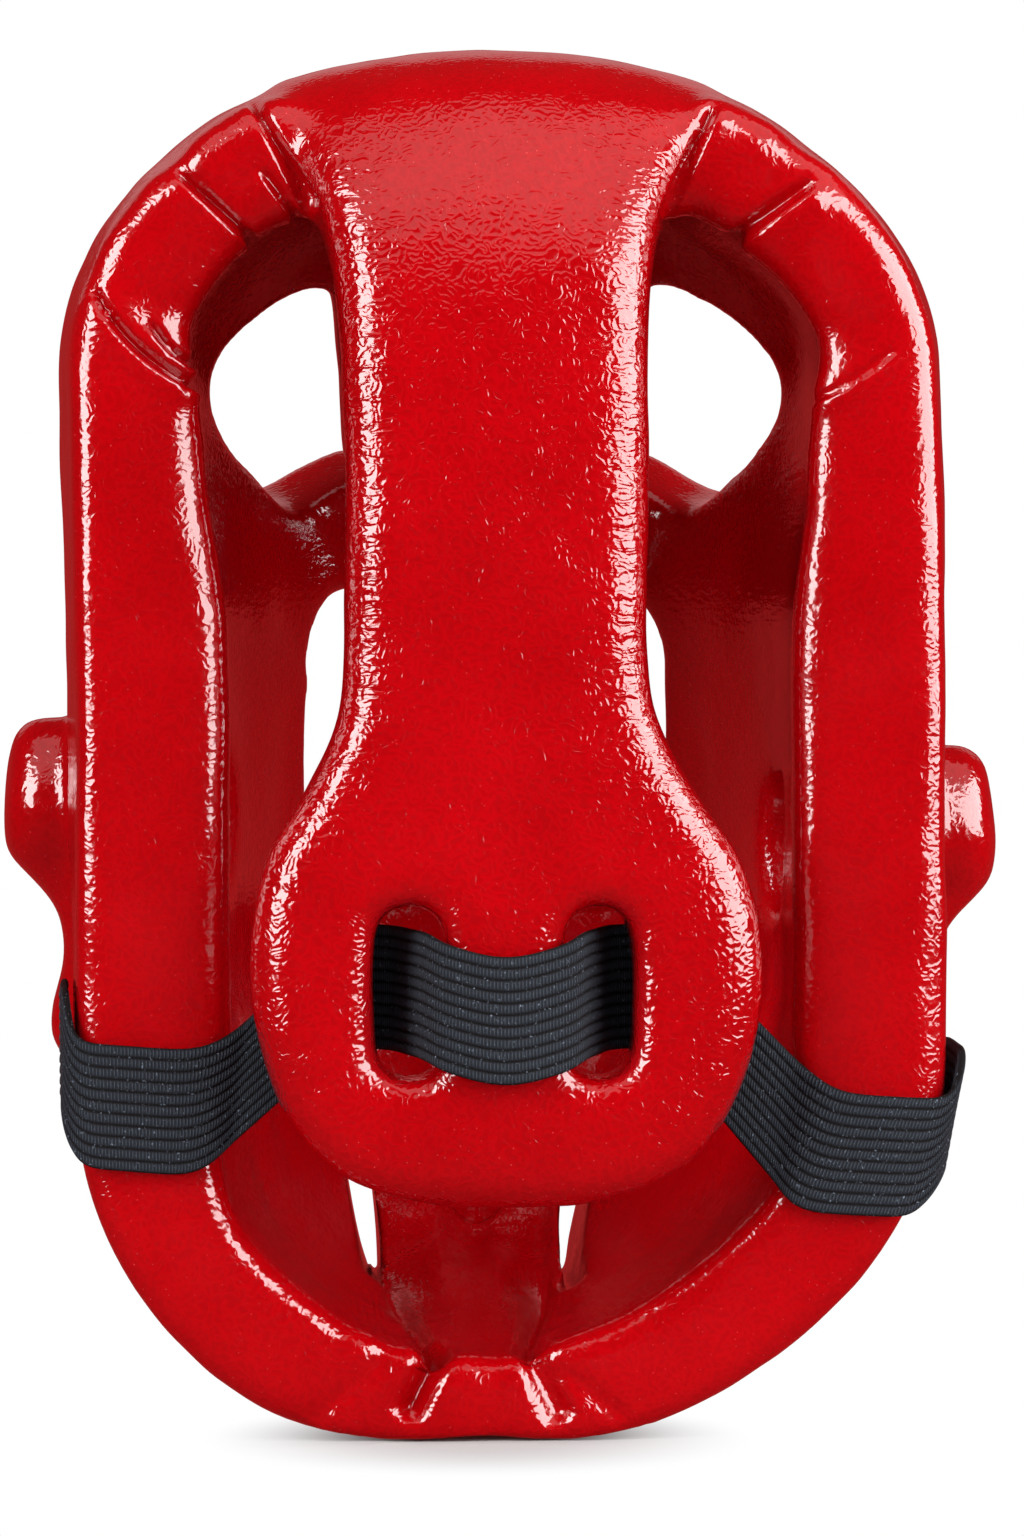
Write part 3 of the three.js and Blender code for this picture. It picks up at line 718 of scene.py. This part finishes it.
# %% The ear pads and the cutters of the shell
EAR_PAD = table(
    "height half_length proud",
    (18, 6, 9),
    (16.5, 9.5, 12.5),
    (12, 14, 15),
    (0, 18, 16.5),
    (-9, 16, 16),
    (-13, 13.5, 14),
    (-19, 12, 8),
    (-25, 11, 4.5),
    (-34, 10.5, 3.5),
    (-44, 11, 6),
    (-51, 9.5, 6),
    (-57, 5, 2.5),
)
EARS = table("side height", (-1, 130), (1, 124))
EAR_DEPTH, EAR_SINK = 58, 14
EAR_FLAT, EAR_FULL, EAR_RINGS, EAR_SIDES = 0.4, 0.8, 89, 72
POCKET_HALF_LENGTH, POCKET_HALF_HEIGHT, POCKET_DROP, POCKET_SIDES = 12, 15, 4, 48
POCKET_REACH = (45, 91)


def ear_pad(side, height):
    """Rings of one pad: flat superellipses, the outer half proud of the wall, the inner half sunk in."""
    at = np.linspace(0, len(EAR_PAD["height"]) - 1, EAR_RINGS)[:, None]
    swing = (np.arange(EAR_SIDES) * (2 * np.pi / EAR_SIDES))[None, :]
    away, along = np.sin(swing), np.cos(swing)
    rise = np.sign(away) * np.abs(away) ** EAR_FLAT
    reach = np.sign(along) * np.abs(along) ** EAR_FULL
    wall_at = outer(np.array(0.0), share_at(np.array(EAR_DEPTH), 0))[0]
    x = side * (wall_at + np.where(away > 0, curved(EAR_PAD, "proud", at), EAR_SINK) * rise)
    y = EAR_DEPTH + curved(EAR_PAD, "half_length", at) * reach
    return np.stack([x, y, height + curved(EAR_PAD, "height", at) + 0 * swing], -1)


def pocket_cutter(side, height):
    """Oval pocket into the side wall behind an ear pad, from the inside."""
    swing = np.arange(POCKET_SIDES) * (2 * np.pi / POCKET_SIDES)
    y = EAR_DEPTH + POCKET_HALF_LENGTH * np.cos(swing)
    z = height - POCKET_DROP + POCKET_HALF_HEIGHT * np.sin(swing)
    return solid("cutter", np.array([np.stack([side * x + 0 * y, y, z], 1) for x in POCKET_REACH]))


def floor_cutter():
    """Everything below the floor."""
    square = np.array([(-200, -200), (200, -200), (200, 300), (-200, 300)], float)
    return solid("cutter", np.array([np.insert(square, 2, z, 1) for z in (-50, 0)]))


print(len(EAR_PAD["height"]), "rows down each ear pad")

# %% One net of the bowl, the strap and the ear pads
NET_VOXEL = 1.4
STRAP_BITE, STRAP_BITE_DEEP = -1.5, 8
STRAP_GROW, STRAP_SWELL = 0.7, 0.3
EDGE_ROUND, SOFT_ROUND = 2.0, 7


def passes(millimetres):
    """Easing passes that round an edge over by about this radius: they grow with its square."""
    return round(4 * (millimetres / 1.7 / NET_VOXEL) ** 2)


cutters = [(cutter, "DIFFERENCE") for cutter in openings]
cutters += [(solid("cutter", crown_strap(STRAP_BITE, STRAP_BITE_DEEP)), "DIFFERENCE")]
cutters += [(solid("strap", crown_strap(STRAP_GROW, STRAP_SWELL)), "UNION")]
cutters += [(solid("ear", ear_pad(*ear)), "UNION") for ear in zip(*EARS.values())]
cutters += [(pocket_cutter(*ear), "DIFFERENCE") for ear in zip(*EARS.values())]
cutters += [(slot_cutter(side), "DIFFERENCE") for side in (-1, 1)]
cutters += [(floor_cutter(), "DIFFERENCE")]
points, faces = even_net(solid("bowl", bowl_grid, closed=True), cutters, NET_VOXEL)
edges = net_edges(faces)
print("net of", len(points), "places")

# %% Ease the edges
def ease(u):
    """Smooth step from 0 to 1: 3u^2 - 2u^3."""
    u = np.clip(u, 0, 1)
    return u * u * (3 - 2 * u)


def beyond(values, start, over):
    """Smooth step up: 0 before the start, rising to 1 over so far."""
    return ease((values - start) / over)


def before(values, end, over):
    """Smooth step down: 1 at first, falling to 0 over so far before the end."""
    return ease((end - values) / over)


x, depth, z = points.T
strap_side = np.abs(x - PAD_X)
slot_x = np.abs(strap_side - SLOT_SPACING / 2) - SLOT_WIDTH / 2
slot_z = np.abs(z - PAD_HEIGHT) - SLOT_HEIGHT / 2
from_slot = np.hypot(np.maximum(slot_x, 0), np.maximum(slot_z, 0))
slot_lip = (1 - beyond(from_slot, 4, 8)) * before(depth, -2, 4)
tongue = before(depth, -4, 6) * before(strap_side, 60, 6) * before(z, 262, 20) * beyond(z, 40, 8)
saddle = beyond(strap_side, 22, 10) * before(strap_side, 62, 14)
saddle = saddle * beyond(z, 232, 14) * before(depth, 26, 14)
ear = beyond(np.abs(x), 84, 6) * beyond(depth, 30, 8)
opening = beyond(depth, 30, 20) * (1 - ear) * (0.25 + 0.75 * beyond(z, 80, 20))
soft = np.maximum.reduce([0.6 * opening, 0.8 * slot_lip, 0.6 * tongue, 0.5 * saddle])
points = rounded(points, edges, passes(EDGE_ROUND))
points = rounded(points, edges, passes(SOFT_ROUND), 0.5 * soft[:, None])
print("largest softness", soft.max().round(2))

# %% [markdown]
# ## Creases
# Where the foam is bent round the crown and under the chin, the skin is gathered into short creases.
# Each is a line seen from behind: a narrow groove with a raised lip on one or both sides, which fades
# forward over its reach. Sculpting would give them too, but lines in a table can be moved one by one.
# The net is made finer there first, so the grooves come out sharp, and afterwards it is thinned where
# it is flat.

# %% Depth of the creases and height of the chin panel
CREASES = table(
    "x0 z0 x1 z1 bow deep half lip_a lip_b reach",
    (-84.5, 233, -63, 214.5, -2.6, 1.8, 1.0, 0.3, 0.9, 22),
    (-73, 226.5, -64.5, 219, -0.8, 1.4, 0.8, 0.3, 0.8, 12),
    (-67, 257.5, -52, 244, 0, 1.9, 1.0, 0.1, 1.2, 24),
    (-52.5, 272.5, -41.5, 252, 0, 2.0, 1.1, 0.3, 0.7, 26),
    (-50, 257.5, -44, 250, 0, 1.1, 0.9, 0.2, 0.7, 12),
    (77, 222, 62.5, 213, 0.8, 0.4, 0.8, 0.6, 0.2, 14),
    (60, 256.5, 44.5, 245, 0, 2.0, 1.4, 1.2, 0.1, 24),
    (40.5, 271.5, 31, 250, 0, 2.0, 1.1, 0.7, 0.3, 26),
    (-15, 19.5, -21.5, 6, 0, 4.4, 2.7, 0.0, 0.3, 18),
    (-27, 16, -41, 4.5, 0, 0.8, 2.4, 0.0, 0.0, 14),
    (2.5, 19.5, 9.5, 5, 0, 2.6, 2.6, 0.1, 0.0, 16),
    (9.5, 14.5, 22, 5, 0, 0.9, 2.3, 0.0, 0.0, 14),
)
CREASE_PAST, CREASE_FADE = 3, 4
LIP_AT, LIP_NEAR, LIP_FAR = 1.9, 0.9, 3.2
SEAM_START, SEAM_SPREAD = 9.3, 0.098
SEAM_DEEP, SEAM_HALF, SEAM_END = 3.0, 1.9, 100
PANEL_RISE, PANEL_TOP = 8, 62


def crease_depth(points):
    """Depth of the creases: a groove exp(-(s/h)^2) along each line, less a lip on either side of it.

    Here s is the distance from the line and h the groove's half width. Lips are placed in half widths.
    """
    line = np.stack([CREASES["x1"] - CREASES["x0"], CREASES["z1"] - CREASES["z0"]])
    length = np.hypot(*line)
    x, z = points[:, 0, None] - CREASES["x0"], points[:, 2, None] - CREASES["z0"]
    along = (x * line[0] + z * line[1]) / length
    share = np.clip(along / length, 0, 1)
    side = (z * line[0] - x * line[1]) / length - CREASES["bow"] * 4 * share * (1 - share)
    off = side / CREASES["half"]
    run = beyond(along, -CREASE_PAST, CREASE_FADE) * before(along, length + CREASE_PAST, CREASE_FADE)
    fade = ease(1 - np.maximum(points[:, 1, None], 0) / CREASES["reach"])
    swell = np.abs(off) - LIP_AT
    lip = np.exp(-((swell / np.where(swell < 0, LIP_NEAR, LIP_FAR)) ** 2))
    lip = lip * np.where(off > 0, CREASES["lip_a"], CREASES["lip_b"])
    return (run * fade * (CREASES["deep"] * np.exp(-(off**2)) - lip)).sum(1)


def chin_rise(points, inside):
    """Height of the chin panel over the bowl's floor, with a seam on both sides that spreads forward."""
    depth = np.maximum(points[:, 1], 0)
    off = np.abs(points[:, 0] - CHIN_MIDDLE) - SEAM_START - SEAM_SPREAD * depth
    seam = SEAM_DEEP * np.exp(-((off / SEAM_HALF) ** 2)) * before(depth, SEAM_END, 40)
    panel = PANEL_RISE * beyond(depth, 0, SEAM_END) * before(off, 0, 10)
    return inside * before(points[:, 2], PANEL_TOP, 20) * (panel - seam)


print(len(CREASES["deep"]), "creases drawn")

# %% Finer and thinner nets
def finer(mesh, chosen):
    """Splits the edges between two chosen places, and the quads between them, in half."""
    net = bmesh.new()
    net.from_mesh(mesh)
    split = [edge for edge in net.edges if chosen[edge.verts[0].index] and chosen[edge.verts[1].index]]
    bmesh.ops.subdivide_edges(net, edges=split, cuts=1, use_grid_fill=True)
    net.to_mesh(mesh)
    net.free()


def thinned(mesh, most):
    """The same surface with at most so many triangles, the largest where it is flattest."""
    holder = bpy.data.objects.new("holder", mesh)
    bpy.context.scene.collection.objects.link(holder)
    holder.modifiers.new("thin", "DECIMATE").ratio = min(1, most / triangles(mesh))
    made = bpy.data.meshes.new_from_object(holder.evaluated_get(bpy.context.evaluated_depsgraph_get()))
    bpy.data.objects.remove(holder)
    mesh.name, made.name = "before_thinning", mesh.name
    bpy.data.meshes.remove(mesh)
    return made


def read(mesh):
    """Places in millimetres from the rim, normals and edges of a mesh."""
    places, normals = np.empty(len(mesh.vertices) * 3), np.empty(len(mesh.vertices) * 3, np.float32)
    mesh.vertices.foreach_get("co", places)
    mesh.vertex_normals.foreach_get("vector", normals)
    edges = np.empty(len(mesh.edges) * 2, np.int32)
    mesh.edges.foreach_get("vertices", edges)
    return places.reshape(-1, 3) / MM + (0, RIM_TO_MIDDLE, 0), normals.reshape(-1, 3), edges.reshape(-1, 2)


print("net before the creases:", len(points), "places")

# %% Press the creases in
CREASED = 0.03
SWELLS = table("high size seed", (0.16, 34, 1), (0.08, 13, 2))
CHIN_NOTCH, NOTCH_HALF = 1.0, 10
CHIN_CURL, CHIN_FLAT, CHIN_CURL_OVER = 4.5, 15, 34


def inside_share(points, normals):
    """1 where the surface faces the middle of the bowl, 0 where it faces away."""
    outward = unit((points - (0, 0, RIM_CENTRE)) * (1, 0, 1))
    return ease(-2 * (normals * outward).sum(1)) * beyond(points[:, 1], -2, 6)


mesh = mesh_of("dipped_foam", points, faces)
for _ in range(2):
    finer(mesh, np.abs(crease_depth(points)) > CREASED)
    points, normals, edges = read(mesh)
points = rounded(points, edges, 5)
rise = chin_rise(points, inside_share(points, normals)) - crease_depth(points)
rise += sum(high * uneven(points, size, int(seed)) for high, size, seed in zip(*SWELLS.values()))
points = points + normals * rise[:, None]
from_chin = np.abs(points[:, 0] - CHIN_MIDDLE)
notch = CHIN_NOTCH * np.exp(-((from_chin / NOTCH_HALF) ** 2)) * before(points[:, 1], 25, 15)
notch += CHIN_CURL * beyond(from_chin, CHIN_FLAT, CHIN_CURL_OVER)
points[:, 2] = np.maximum(points[:, 2], notch)
mesh.vertices.foreach_set("co", ((points - (0, RIM_TO_MIDDLE, 0)) * MM).ravel())
mesh.update()
print("deepest groove", -rise.min().round(1), "mm")

# %% Marks for the finish, and the piece
MOST_TRIANGLES = 195_000
TONGUE_ROW = 9
WRINKLED, WRINKLED_MORE = 0.45, 0.55


def mark(mesh, name, values):
    """Stores a value at each place of a mesh, for the finish to read."""
    mesh.attributes.new(name, "FLOAT", "POINT").data.foreach_set("value", values.astype(np.float32))


mesh = thinned(mesh, MOST_TRIANGLES)
points, normals, _ = read(mesh)
x, depth, z = points.T
heights = CROWN_STRAP["height"]
row = np.interp(-z, -heights[TONGUE_ROW:], np.arange(TONGUE_ROW, len(heights)))
edge_share = np.abs(x - curved(CROWN_STRAP, "shift", row)) / curved(CROWN_STRAP, "half_width", row)
mark(mesh, "inside", inside_share(points, normals))
mark(mesh, "wrinkle", WRINKLED + WRINKLED_MORE * before(depth, -4, 6))
mark(mesh, "pucker", beyond(edge_share, 0.55, 0.3) * before(depth, -8, 6) * beyond(z, 100, 30))
foam_nodes = ["face_shell", "crown_strap", "ear_pad_left", "ear_pad_right"]
helmet = piece(mesh, foam_nodes, vinyl)

# %% [markdown]
# ## The elastic
# The band is sewn to the outer side of each bar, runs round the bar, over to a slot of the pad and
# across between the two slots. It is a ribbed section carried along that path, with the path smoothed
# a little, as a stretched band lies. A cloth simulation could drape it too, but a band under tension
# has a known path.

# %% Path of the elastic
ELASTIC_GAP = 1.5
ELASTIC_END_DEPTH = 34
ELASTIC_SIDES = table("side outer rear inner slot", (-1, 80, 69, 74, 92.5), (1, 68, 58, 63, 92.5))
ROUTE = table(
    "across y",
    (14, -4.2), (6.4, -5), (2.6, -8), (0.5, -15), (-2.2, -22.5), (-4, -28.2), (-6.2, -30.7),
)
BOW_HALF, BOW_DEPTH, BOW_OUT, BOW_DROP, BOW_STEPS = 11.5, -31.2, 2, 1.3, 21
SAG, SAG_HALF = 4.5, 13


def angle_at(height, lap, side):
    """Angle at which a lap of the wall passes a height on one side, found by halving."""
    low, high = np.full_like(lap, -80 * TURN), np.full_like(lap, 60 * TURN)
    for _ in range(40):
        middle = (low + high) / 2
        below = wall(middle, lap)[..., 2] < height
        low, high = np.where(below, middle, low), np.where(below, high, middle)
    return low if side > 0 else np.pi - low


def elastic_side(side, outer_height, rear, inner, slot):
    """Middle line and width direction of one side, from its sewn end round the bar to the slot."""
    lift = ELASTIC_GAP + ELASTIC_THICK / 2
    share = share_at(np.array(ELASTIC_END_DEPTH), -38)
    on_wall = 1 - share * (1 - np.linspace(0, 1, 30) ** 0.3)
    laps = np.concatenate([on_wall, np.linspace(1, 1.86, 60)[1:]])
    heights = table("at z", (1 - share, outer_height), (1.3, rear), (1.5, rear), (1.9, inner))
    angle = angle_at(eased(heights, "z", laps), laps, side)
    across = unit(wall(angle + 0.02 * side, laps, lift) - wall(angle - 0.02 * side, laps, lift))
    x = PAD_X + side * SLOT_SPACING / 2 + side * ROUTE["across"]
    passed = np.stack([x, ROUTE["y"], slot + 0.05 * np.minimum(ROUTE["y"] + 5, 0)], 1)
    upright = np.tile((0.0, 0.0, 1.0), (len(passed), 1))
    return np.concatenate([wall(angle, laps, lift), passed]), np.concatenate([across, upright])


def elastic_path(step=0.8, soft=2.2, reach=12):
    """The whole middle line at even steps, smoothed by a bell of a few millimetres."""
    left, right = (elastic_side(*row) for row in zip(*ELASTIC_SIDES.values()))
    share = np.linspace(-1, 1, BOW_STEPS)
    fall = 1 - share**2
    level = ELASTIC_SIDES["slot"][0] - BOW_DROP + 0 * fall
    bow = np.stack([PAD_X + BOW_HALF * share, BOW_DEPTH - BOW_OUT * fall, level], 1)
    stops = np.concatenate([left[0], bow, right[0][::-1]])
    across = np.concatenate([left[1], np.tile((0.0, 0.0, 1.0), (BOW_STEPS, 1)), right[1][::-1]])
    stops[:, 2] -= SAG * np.exp(-(((stops[:, 0] - PAD_X) / SAG_HALF) ** 2)) * before(stops[:, 1], -27, 4)
    run = np.concatenate([[0], np.cumsum(np.linalg.norm(np.diff(stops, axis=0), axis=1))])
    places = np.arange(0, run[-1], step)
    bell = np.exp(-0.5 * (np.arange(-reach, reach + 1) * step / soft) ** 2)
    bell /= bell.sum()

    def even(values):
        padded = np.pad(np.interp(places, run, values), reach, mode="reflect", reflect_type="odd")
        return np.convolve(padded, bell, "valid")

    return places, np.stack([even(v) for v in stops.T], 1), unit(np.stack([even(v) for v in across.T], 1))


run, centre, across = elastic_path()
print("elastic is", round(run[-1]), "mm long")

# %% The elastic band
RIB_VALLEY, RIB_RISE, EDGE_THIN = 0.62, 0.38, 0.55


def band_section(samples=6):
    """Half thickness across the band: cords as roots of a sine, side by side, thinner at both edges."""
    share = np.linspace(-1, 1, RIBS * samples + 1)
    cord = np.sqrt(np.abs(np.sin((share + 1) / 2 * RIBS * np.pi)))
    return share, ELASTIC_THICK / 2 * (RIB_VALLEY + RIB_RISE * cord) * np.sqrt(1 - EDGE_THIN * share**20)


off = unit(np.cross(np.gradient(centre, axis=0), across))
share, half = band_section()
share_ring, half_ring = np.concatenate([share, share[::-1]]), np.concatenate([half, -half[::-1]])
rings = centre[:, None] + across[:, None] * (share_ring * ELASTIC_WIDTH / 2)[None, :, None]
rings = rings + off[:, None] * half_ring[None, :, None]
faces = ring_faces(*rings.shape[:2], closed=False)
if volume_of(rings, faces) < 0:
    faces = faces[:, ::-1]
band = piece(mesh_of("elastic_band", rings, faces), ["elastic_strap"], elastic_finish)
layer = band.data.uv_layers.new(name="band")
corner = np.empty(len(band.data.loops), np.int32)
band.data.loops.foreach_get("vertex_index", corner)
station, place = np.divmod(corner, rings.shape[1])
layer.uv.foreach_set("vector", np.stack([run[station], (share_ring[place] + 1) / 2], 1).ravel())
print("band of", len(rings), "rings")

# %% Stitches at the sewn ends of the elastic
STITCH_LONG, STITCH_THICK, STITCH_ROWS, STITCHES = 1.7, 0.45, (3, 6, 12, 15), 10
STITCH_INSET, STITCH_SIT, STITCH_FLAT = 1.5, 0.45, 0.7
THREAD_RINGS, THREAD_SIDES = 7, 6
BOWL_MIDDLE = (0, 60, RIM_CENTRE)


def polyester_thread():
    """Black polyester sewing thread: dull, with a soft sheen."""
    made, _, shader = finish("polyester_thread_black")
    shader.inputs["Base Color"].default_value = linear("#15171a")
    shader.inputs["Roughness"].default_value = 0.6
    return made


def stitch_rows(end):
    """Rows of short threads across one end of the band: each is a small spindle on the outer face."""
    swing = np.arange(THREAD_SIDES) * (np.pi / 3)
    share = np.linspace(-1, 1, THREAD_RINGS)
    plump = STITCH_THICK * np.sqrt(1.02 - share**2)
    made = []
    for row in STITCH_ROWS:
        station = int(np.searchsorted(run, row if end == 0 else run[-1] - row))
        outside = off[station] * np.sign((off[station] * (centre[station] - BOWL_MIDDLE)).sum())
        ahead = np.cross(across[station], outside)
        for place in (np.arange(STITCHES) + 0.5) / STITCHES * 2 - 1:
            middle = centre[station] + across[station] * place * (ELASTIC_WIDTH / 2 - STITCH_INSET)
            middle = middle + outside * ELASTIC_THICK * STITCH_SIT
            line = middle + across[station] * (share * STITCH_LONG / 2)[:, None]
            ring = ahead * np.cos(swing)[:, None] + outside * np.sin(swing)[:, None] * STITCH_FLAT
            made.append(line[:, None, :] + ring[None] * plump[:, None, None])
    return np.array(made)


threads = np.concatenate([stitch_rows(end) for end in (0, 1)])
one = ring_faces(THREAD_RINGS, THREAD_SIDES, closed=False)[:, ::-1]
first_places = np.arange(len(threads)) * (THREAD_RINGS * THREAD_SIDES)
faces = (one[None] + first_places[:, None, None]).reshape(-1, 4)
piece(mesh_of("end_stitches", threads, faces), [], polyester_thread())
print(len(threads), "stitches")

# %% [markdown]
# ## Stage, light and camera
# The helmet stands on a white floor in a white room. Two soft boxes beside the camera draw the long
# highlights on the bars, one overhead lights the crown, and a faint one stands in front. Other lights,
# which the gloss doesn't show, fill the shadows, one of them inside the bowl above the chin. The room is
# white to the camera and only a dim red to the helmet, so that the skin keeps its depth. The camera
# stands a metre behind the rim, a little to the left, about level with the middle of the helmet.

# %% Floor
RIM_Y = -RIM_TO_MIDDLE * MM
FLOOR_REACH, FLOOR_RINGS, FLOOR_SIDES, FLOOR_LOW = 0.42, (0.001, 0.3, 0.6, 1.0), 96, 0.2
SHADE_START, SHADE_END = 0.012, 0.058
FIBRE_MM, FIBRE_DEEP = 3.0, 0.2


def plain_floor():
    """White disc: grey paper by the chin, darkened there as painted shadow, fading to a glow as white as
    the room.
    """
    made, tree, shader = finish("white_paper")
    place = add(tree, "ShaderNodeTexCoord").outputs["Object"]
    fibre = add(tree, "ShaderNodeTexNoise", feeds={"Vector": place, "Scale": 1 / (FIBRE_MM * MM)})
    bump = add(tree, "ShaderNodeBump",
               feeds={"Strength": 0.03, "Distance": FIBRE_DEEP * MM, "Height": fibre.outputs[0]})
    chin = (CHIN_MIDDLE * MM, RIM_Y, 0)
    apart = add(tree, "ShaderNodeVectorMath", {"operation": "SUBTRACT"}, {0: place, 1: chin})
    away = add(tree, "ShaderNodeVectorMath", {"operation": "LENGTH"}, {0: apart.outputs[0]})
    fade = add(tree, "ShaderNodeMapRange", {"interpolation_type": "SMOOTHSTEP"},
               {"Value": away.outputs["Value"], "From Min": SHADE_START, "From Max": SHADE_END})
    # Painted shadow: near the chin the paper is grey and has no glow, so it reads dark there, while
    # further off it glows white.
    tone = add(tree, "ShaderNodeMix", {"data_type": "RGBA"},
               {0: fade.outputs[0], 6: linear("#9c9c9c"), 7: linear("#000000")})
    tree.links.new(bump.outputs[0], shader.inputs["Normal"])
    tree.links.new(tone.outputs[2], shader.inputs["Base Color"])
    tree.links.new(fade.outputs[0], shader.inputs["Emission Strength"])
    shader.inputs["Emission Color"].default_value = (1, 1, 1, 1)
    shader.inputs["Roughness"].default_value = 0.9
    shader.inputs["Specular IOR Level"].default_value = 0.0
    swing = np.arange(FLOOR_SIDES) * (2 * np.pi / FLOOR_SIDES)
    ring = np.stack([np.cos(swing), np.sin(swing), 0 * swing], 1) * FLOOR_REACH / MM
    points = np.array([share * ring for share in FLOOR_RINGS]) + (0, RIM_TO_MIDDLE, -FLOOR_LOW)
    between = FLOOR_SIDES * (len(FLOOR_RINGS) - 1)
    faces = ring_faces(len(FLOOR_RINGS), FLOOR_SIDES, closed=False)[:between]
    disc = bpy.data.objects.new("floor", mesh_of("floor", points, faces))
    disc.data.materials.append(made)
    bpy.context.scene.collection.objects.link(disc)
    disc.visible_glossy = False


plain_floor()
print("floor reaches", FLOOR_REACH, "m")

# %% Lights and the room
ROOM_LIGHT, ROOM_SHINE = 0.12, 0.36
HELMET_MIDDLE = (0, 0, 0.15)


def soft_box(name, place, size, power, mirrored=True, aim_at=HELMET_MIDDLE):
    """Rectangular area light that faces a point of the helmet, and may be kept out of the gloss."""
    lamp = bpy.data.lights.new(name, "AREA")
    lamp.shape = "RECTANGLE"
    lamp.size, lamp.size_y = size
    lamp.energy = power
    made = bpy.data.objects.new(name, lamp)
    made.location = place
    made.visible_glossy = mirrored
    made.visible_camera = False
    aim = np.array(aim_at) - place
    turn = np.arctan2(aim[1], aim[0]) - np.pi / 2
    made.rotation_euler = (np.pi / 2 + np.arctan2(aim[2], np.hypot(*aim[:2])), 0, turn)
    bpy.context.scene.collection.objects.link(made)


soft_box("left_box", (-0.95, -0.75, 0.55), (0.6, 0.9), 19)
soft_box("right_box", (1.02, -0.60, 0.55), (1.3, 0.9), 32)
soft_box("top_box", (0.1, -0.50, 1.20), (2.0, 1.0), 4)
soft_box("front_box", (0, 1.20, 0.80), (1.8, 0.5), 0.5)
soft_box("fill", (0, -1.30, 0.05), (1.0, 0.08), 4.5, False)
soft_box("chin_light", (0.03, RIM_Y + 0.018, 0.105), (0.04, 0.012), 0.10, False, (-0.04, 0.06, 0.05))
soft_box("top_fill", (0, -0.60, 1.00), (0.6, 0.4), 5, False)
soft_box("front_fill", (0, 1.10, 0.55), (1.2, 0.8), 8, False)
world = bpy.data.worlds.new("white_room")
bpy.context.scene.world = world
world.use_nodes = True
room = world.node_tree
room.nodes.clear()
seen = add(room, "ShaderNodeBackground", feeds={"Color": (1, 1, 1, 1), "Strength": 1.0})
path = add(room, "ShaderNodeLightPath")
shine = add(room, "ShaderNodeMapRange",
            feeds={"Value": path.outputs["Is Glossy Ray"], "To Min": ROOM_LIGHT, "To Max": ROOM_SHINE})
lit = add(room, "ShaderNodeBackground", feeds={"Color": linear("#ff4040"), "Strength": shine.outputs[0]})
both = add(room, "ShaderNodeMixShader",
           feeds={0: path.outputs["Is Camera Ray"], 1: lit.outputs[0], 2: seen.outputs[0]})
add(room, "ShaderNodeOutputWorld", feeds={"Surface": both.outputs[0]})
print(len(bpy.data.lights), "lights")

# %% Camera
CAMERA_AWAY, CAMERA_HEIGHT, CAMERA_TURN = 1.0, 0.137, 2.5 * TURN
PICTURE_TALL, MM_A_PIXEL, SENSOR_MM = 1536, 0.205, 36
FRAME_TALL = PICTURE_TALL * MM_A_PIXEL * MM

lens = bpy.data.cameras.new("camera")
lens.sensor_fit = "VERTICAL"
lens.sensor_height = SENSOR_MM
lens.lens = SENSOR_MM * CAMERA_AWAY / FRAME_TALL
camera = bpy.data.objects.new("camera", lens)
behind = CAMERA_AWAY * np.cos(CAMERA_TURN)
camera.location = (-CAMERA_AWAY * np.sin(CAMERA_TURN), RIM_Y - behind, CAMERA_HEIGHT)
camera.rotation_euler = (np.pi / 2, 0, -CAMERA_TURN)
bpy.context.scene.collection.objects.link(camera)
bpy.context.scene.camera = camera
bpy.context.scene.view_settings.view_transform = "Standard"
print("camera lens", round(lens.lens, 1), "mm")
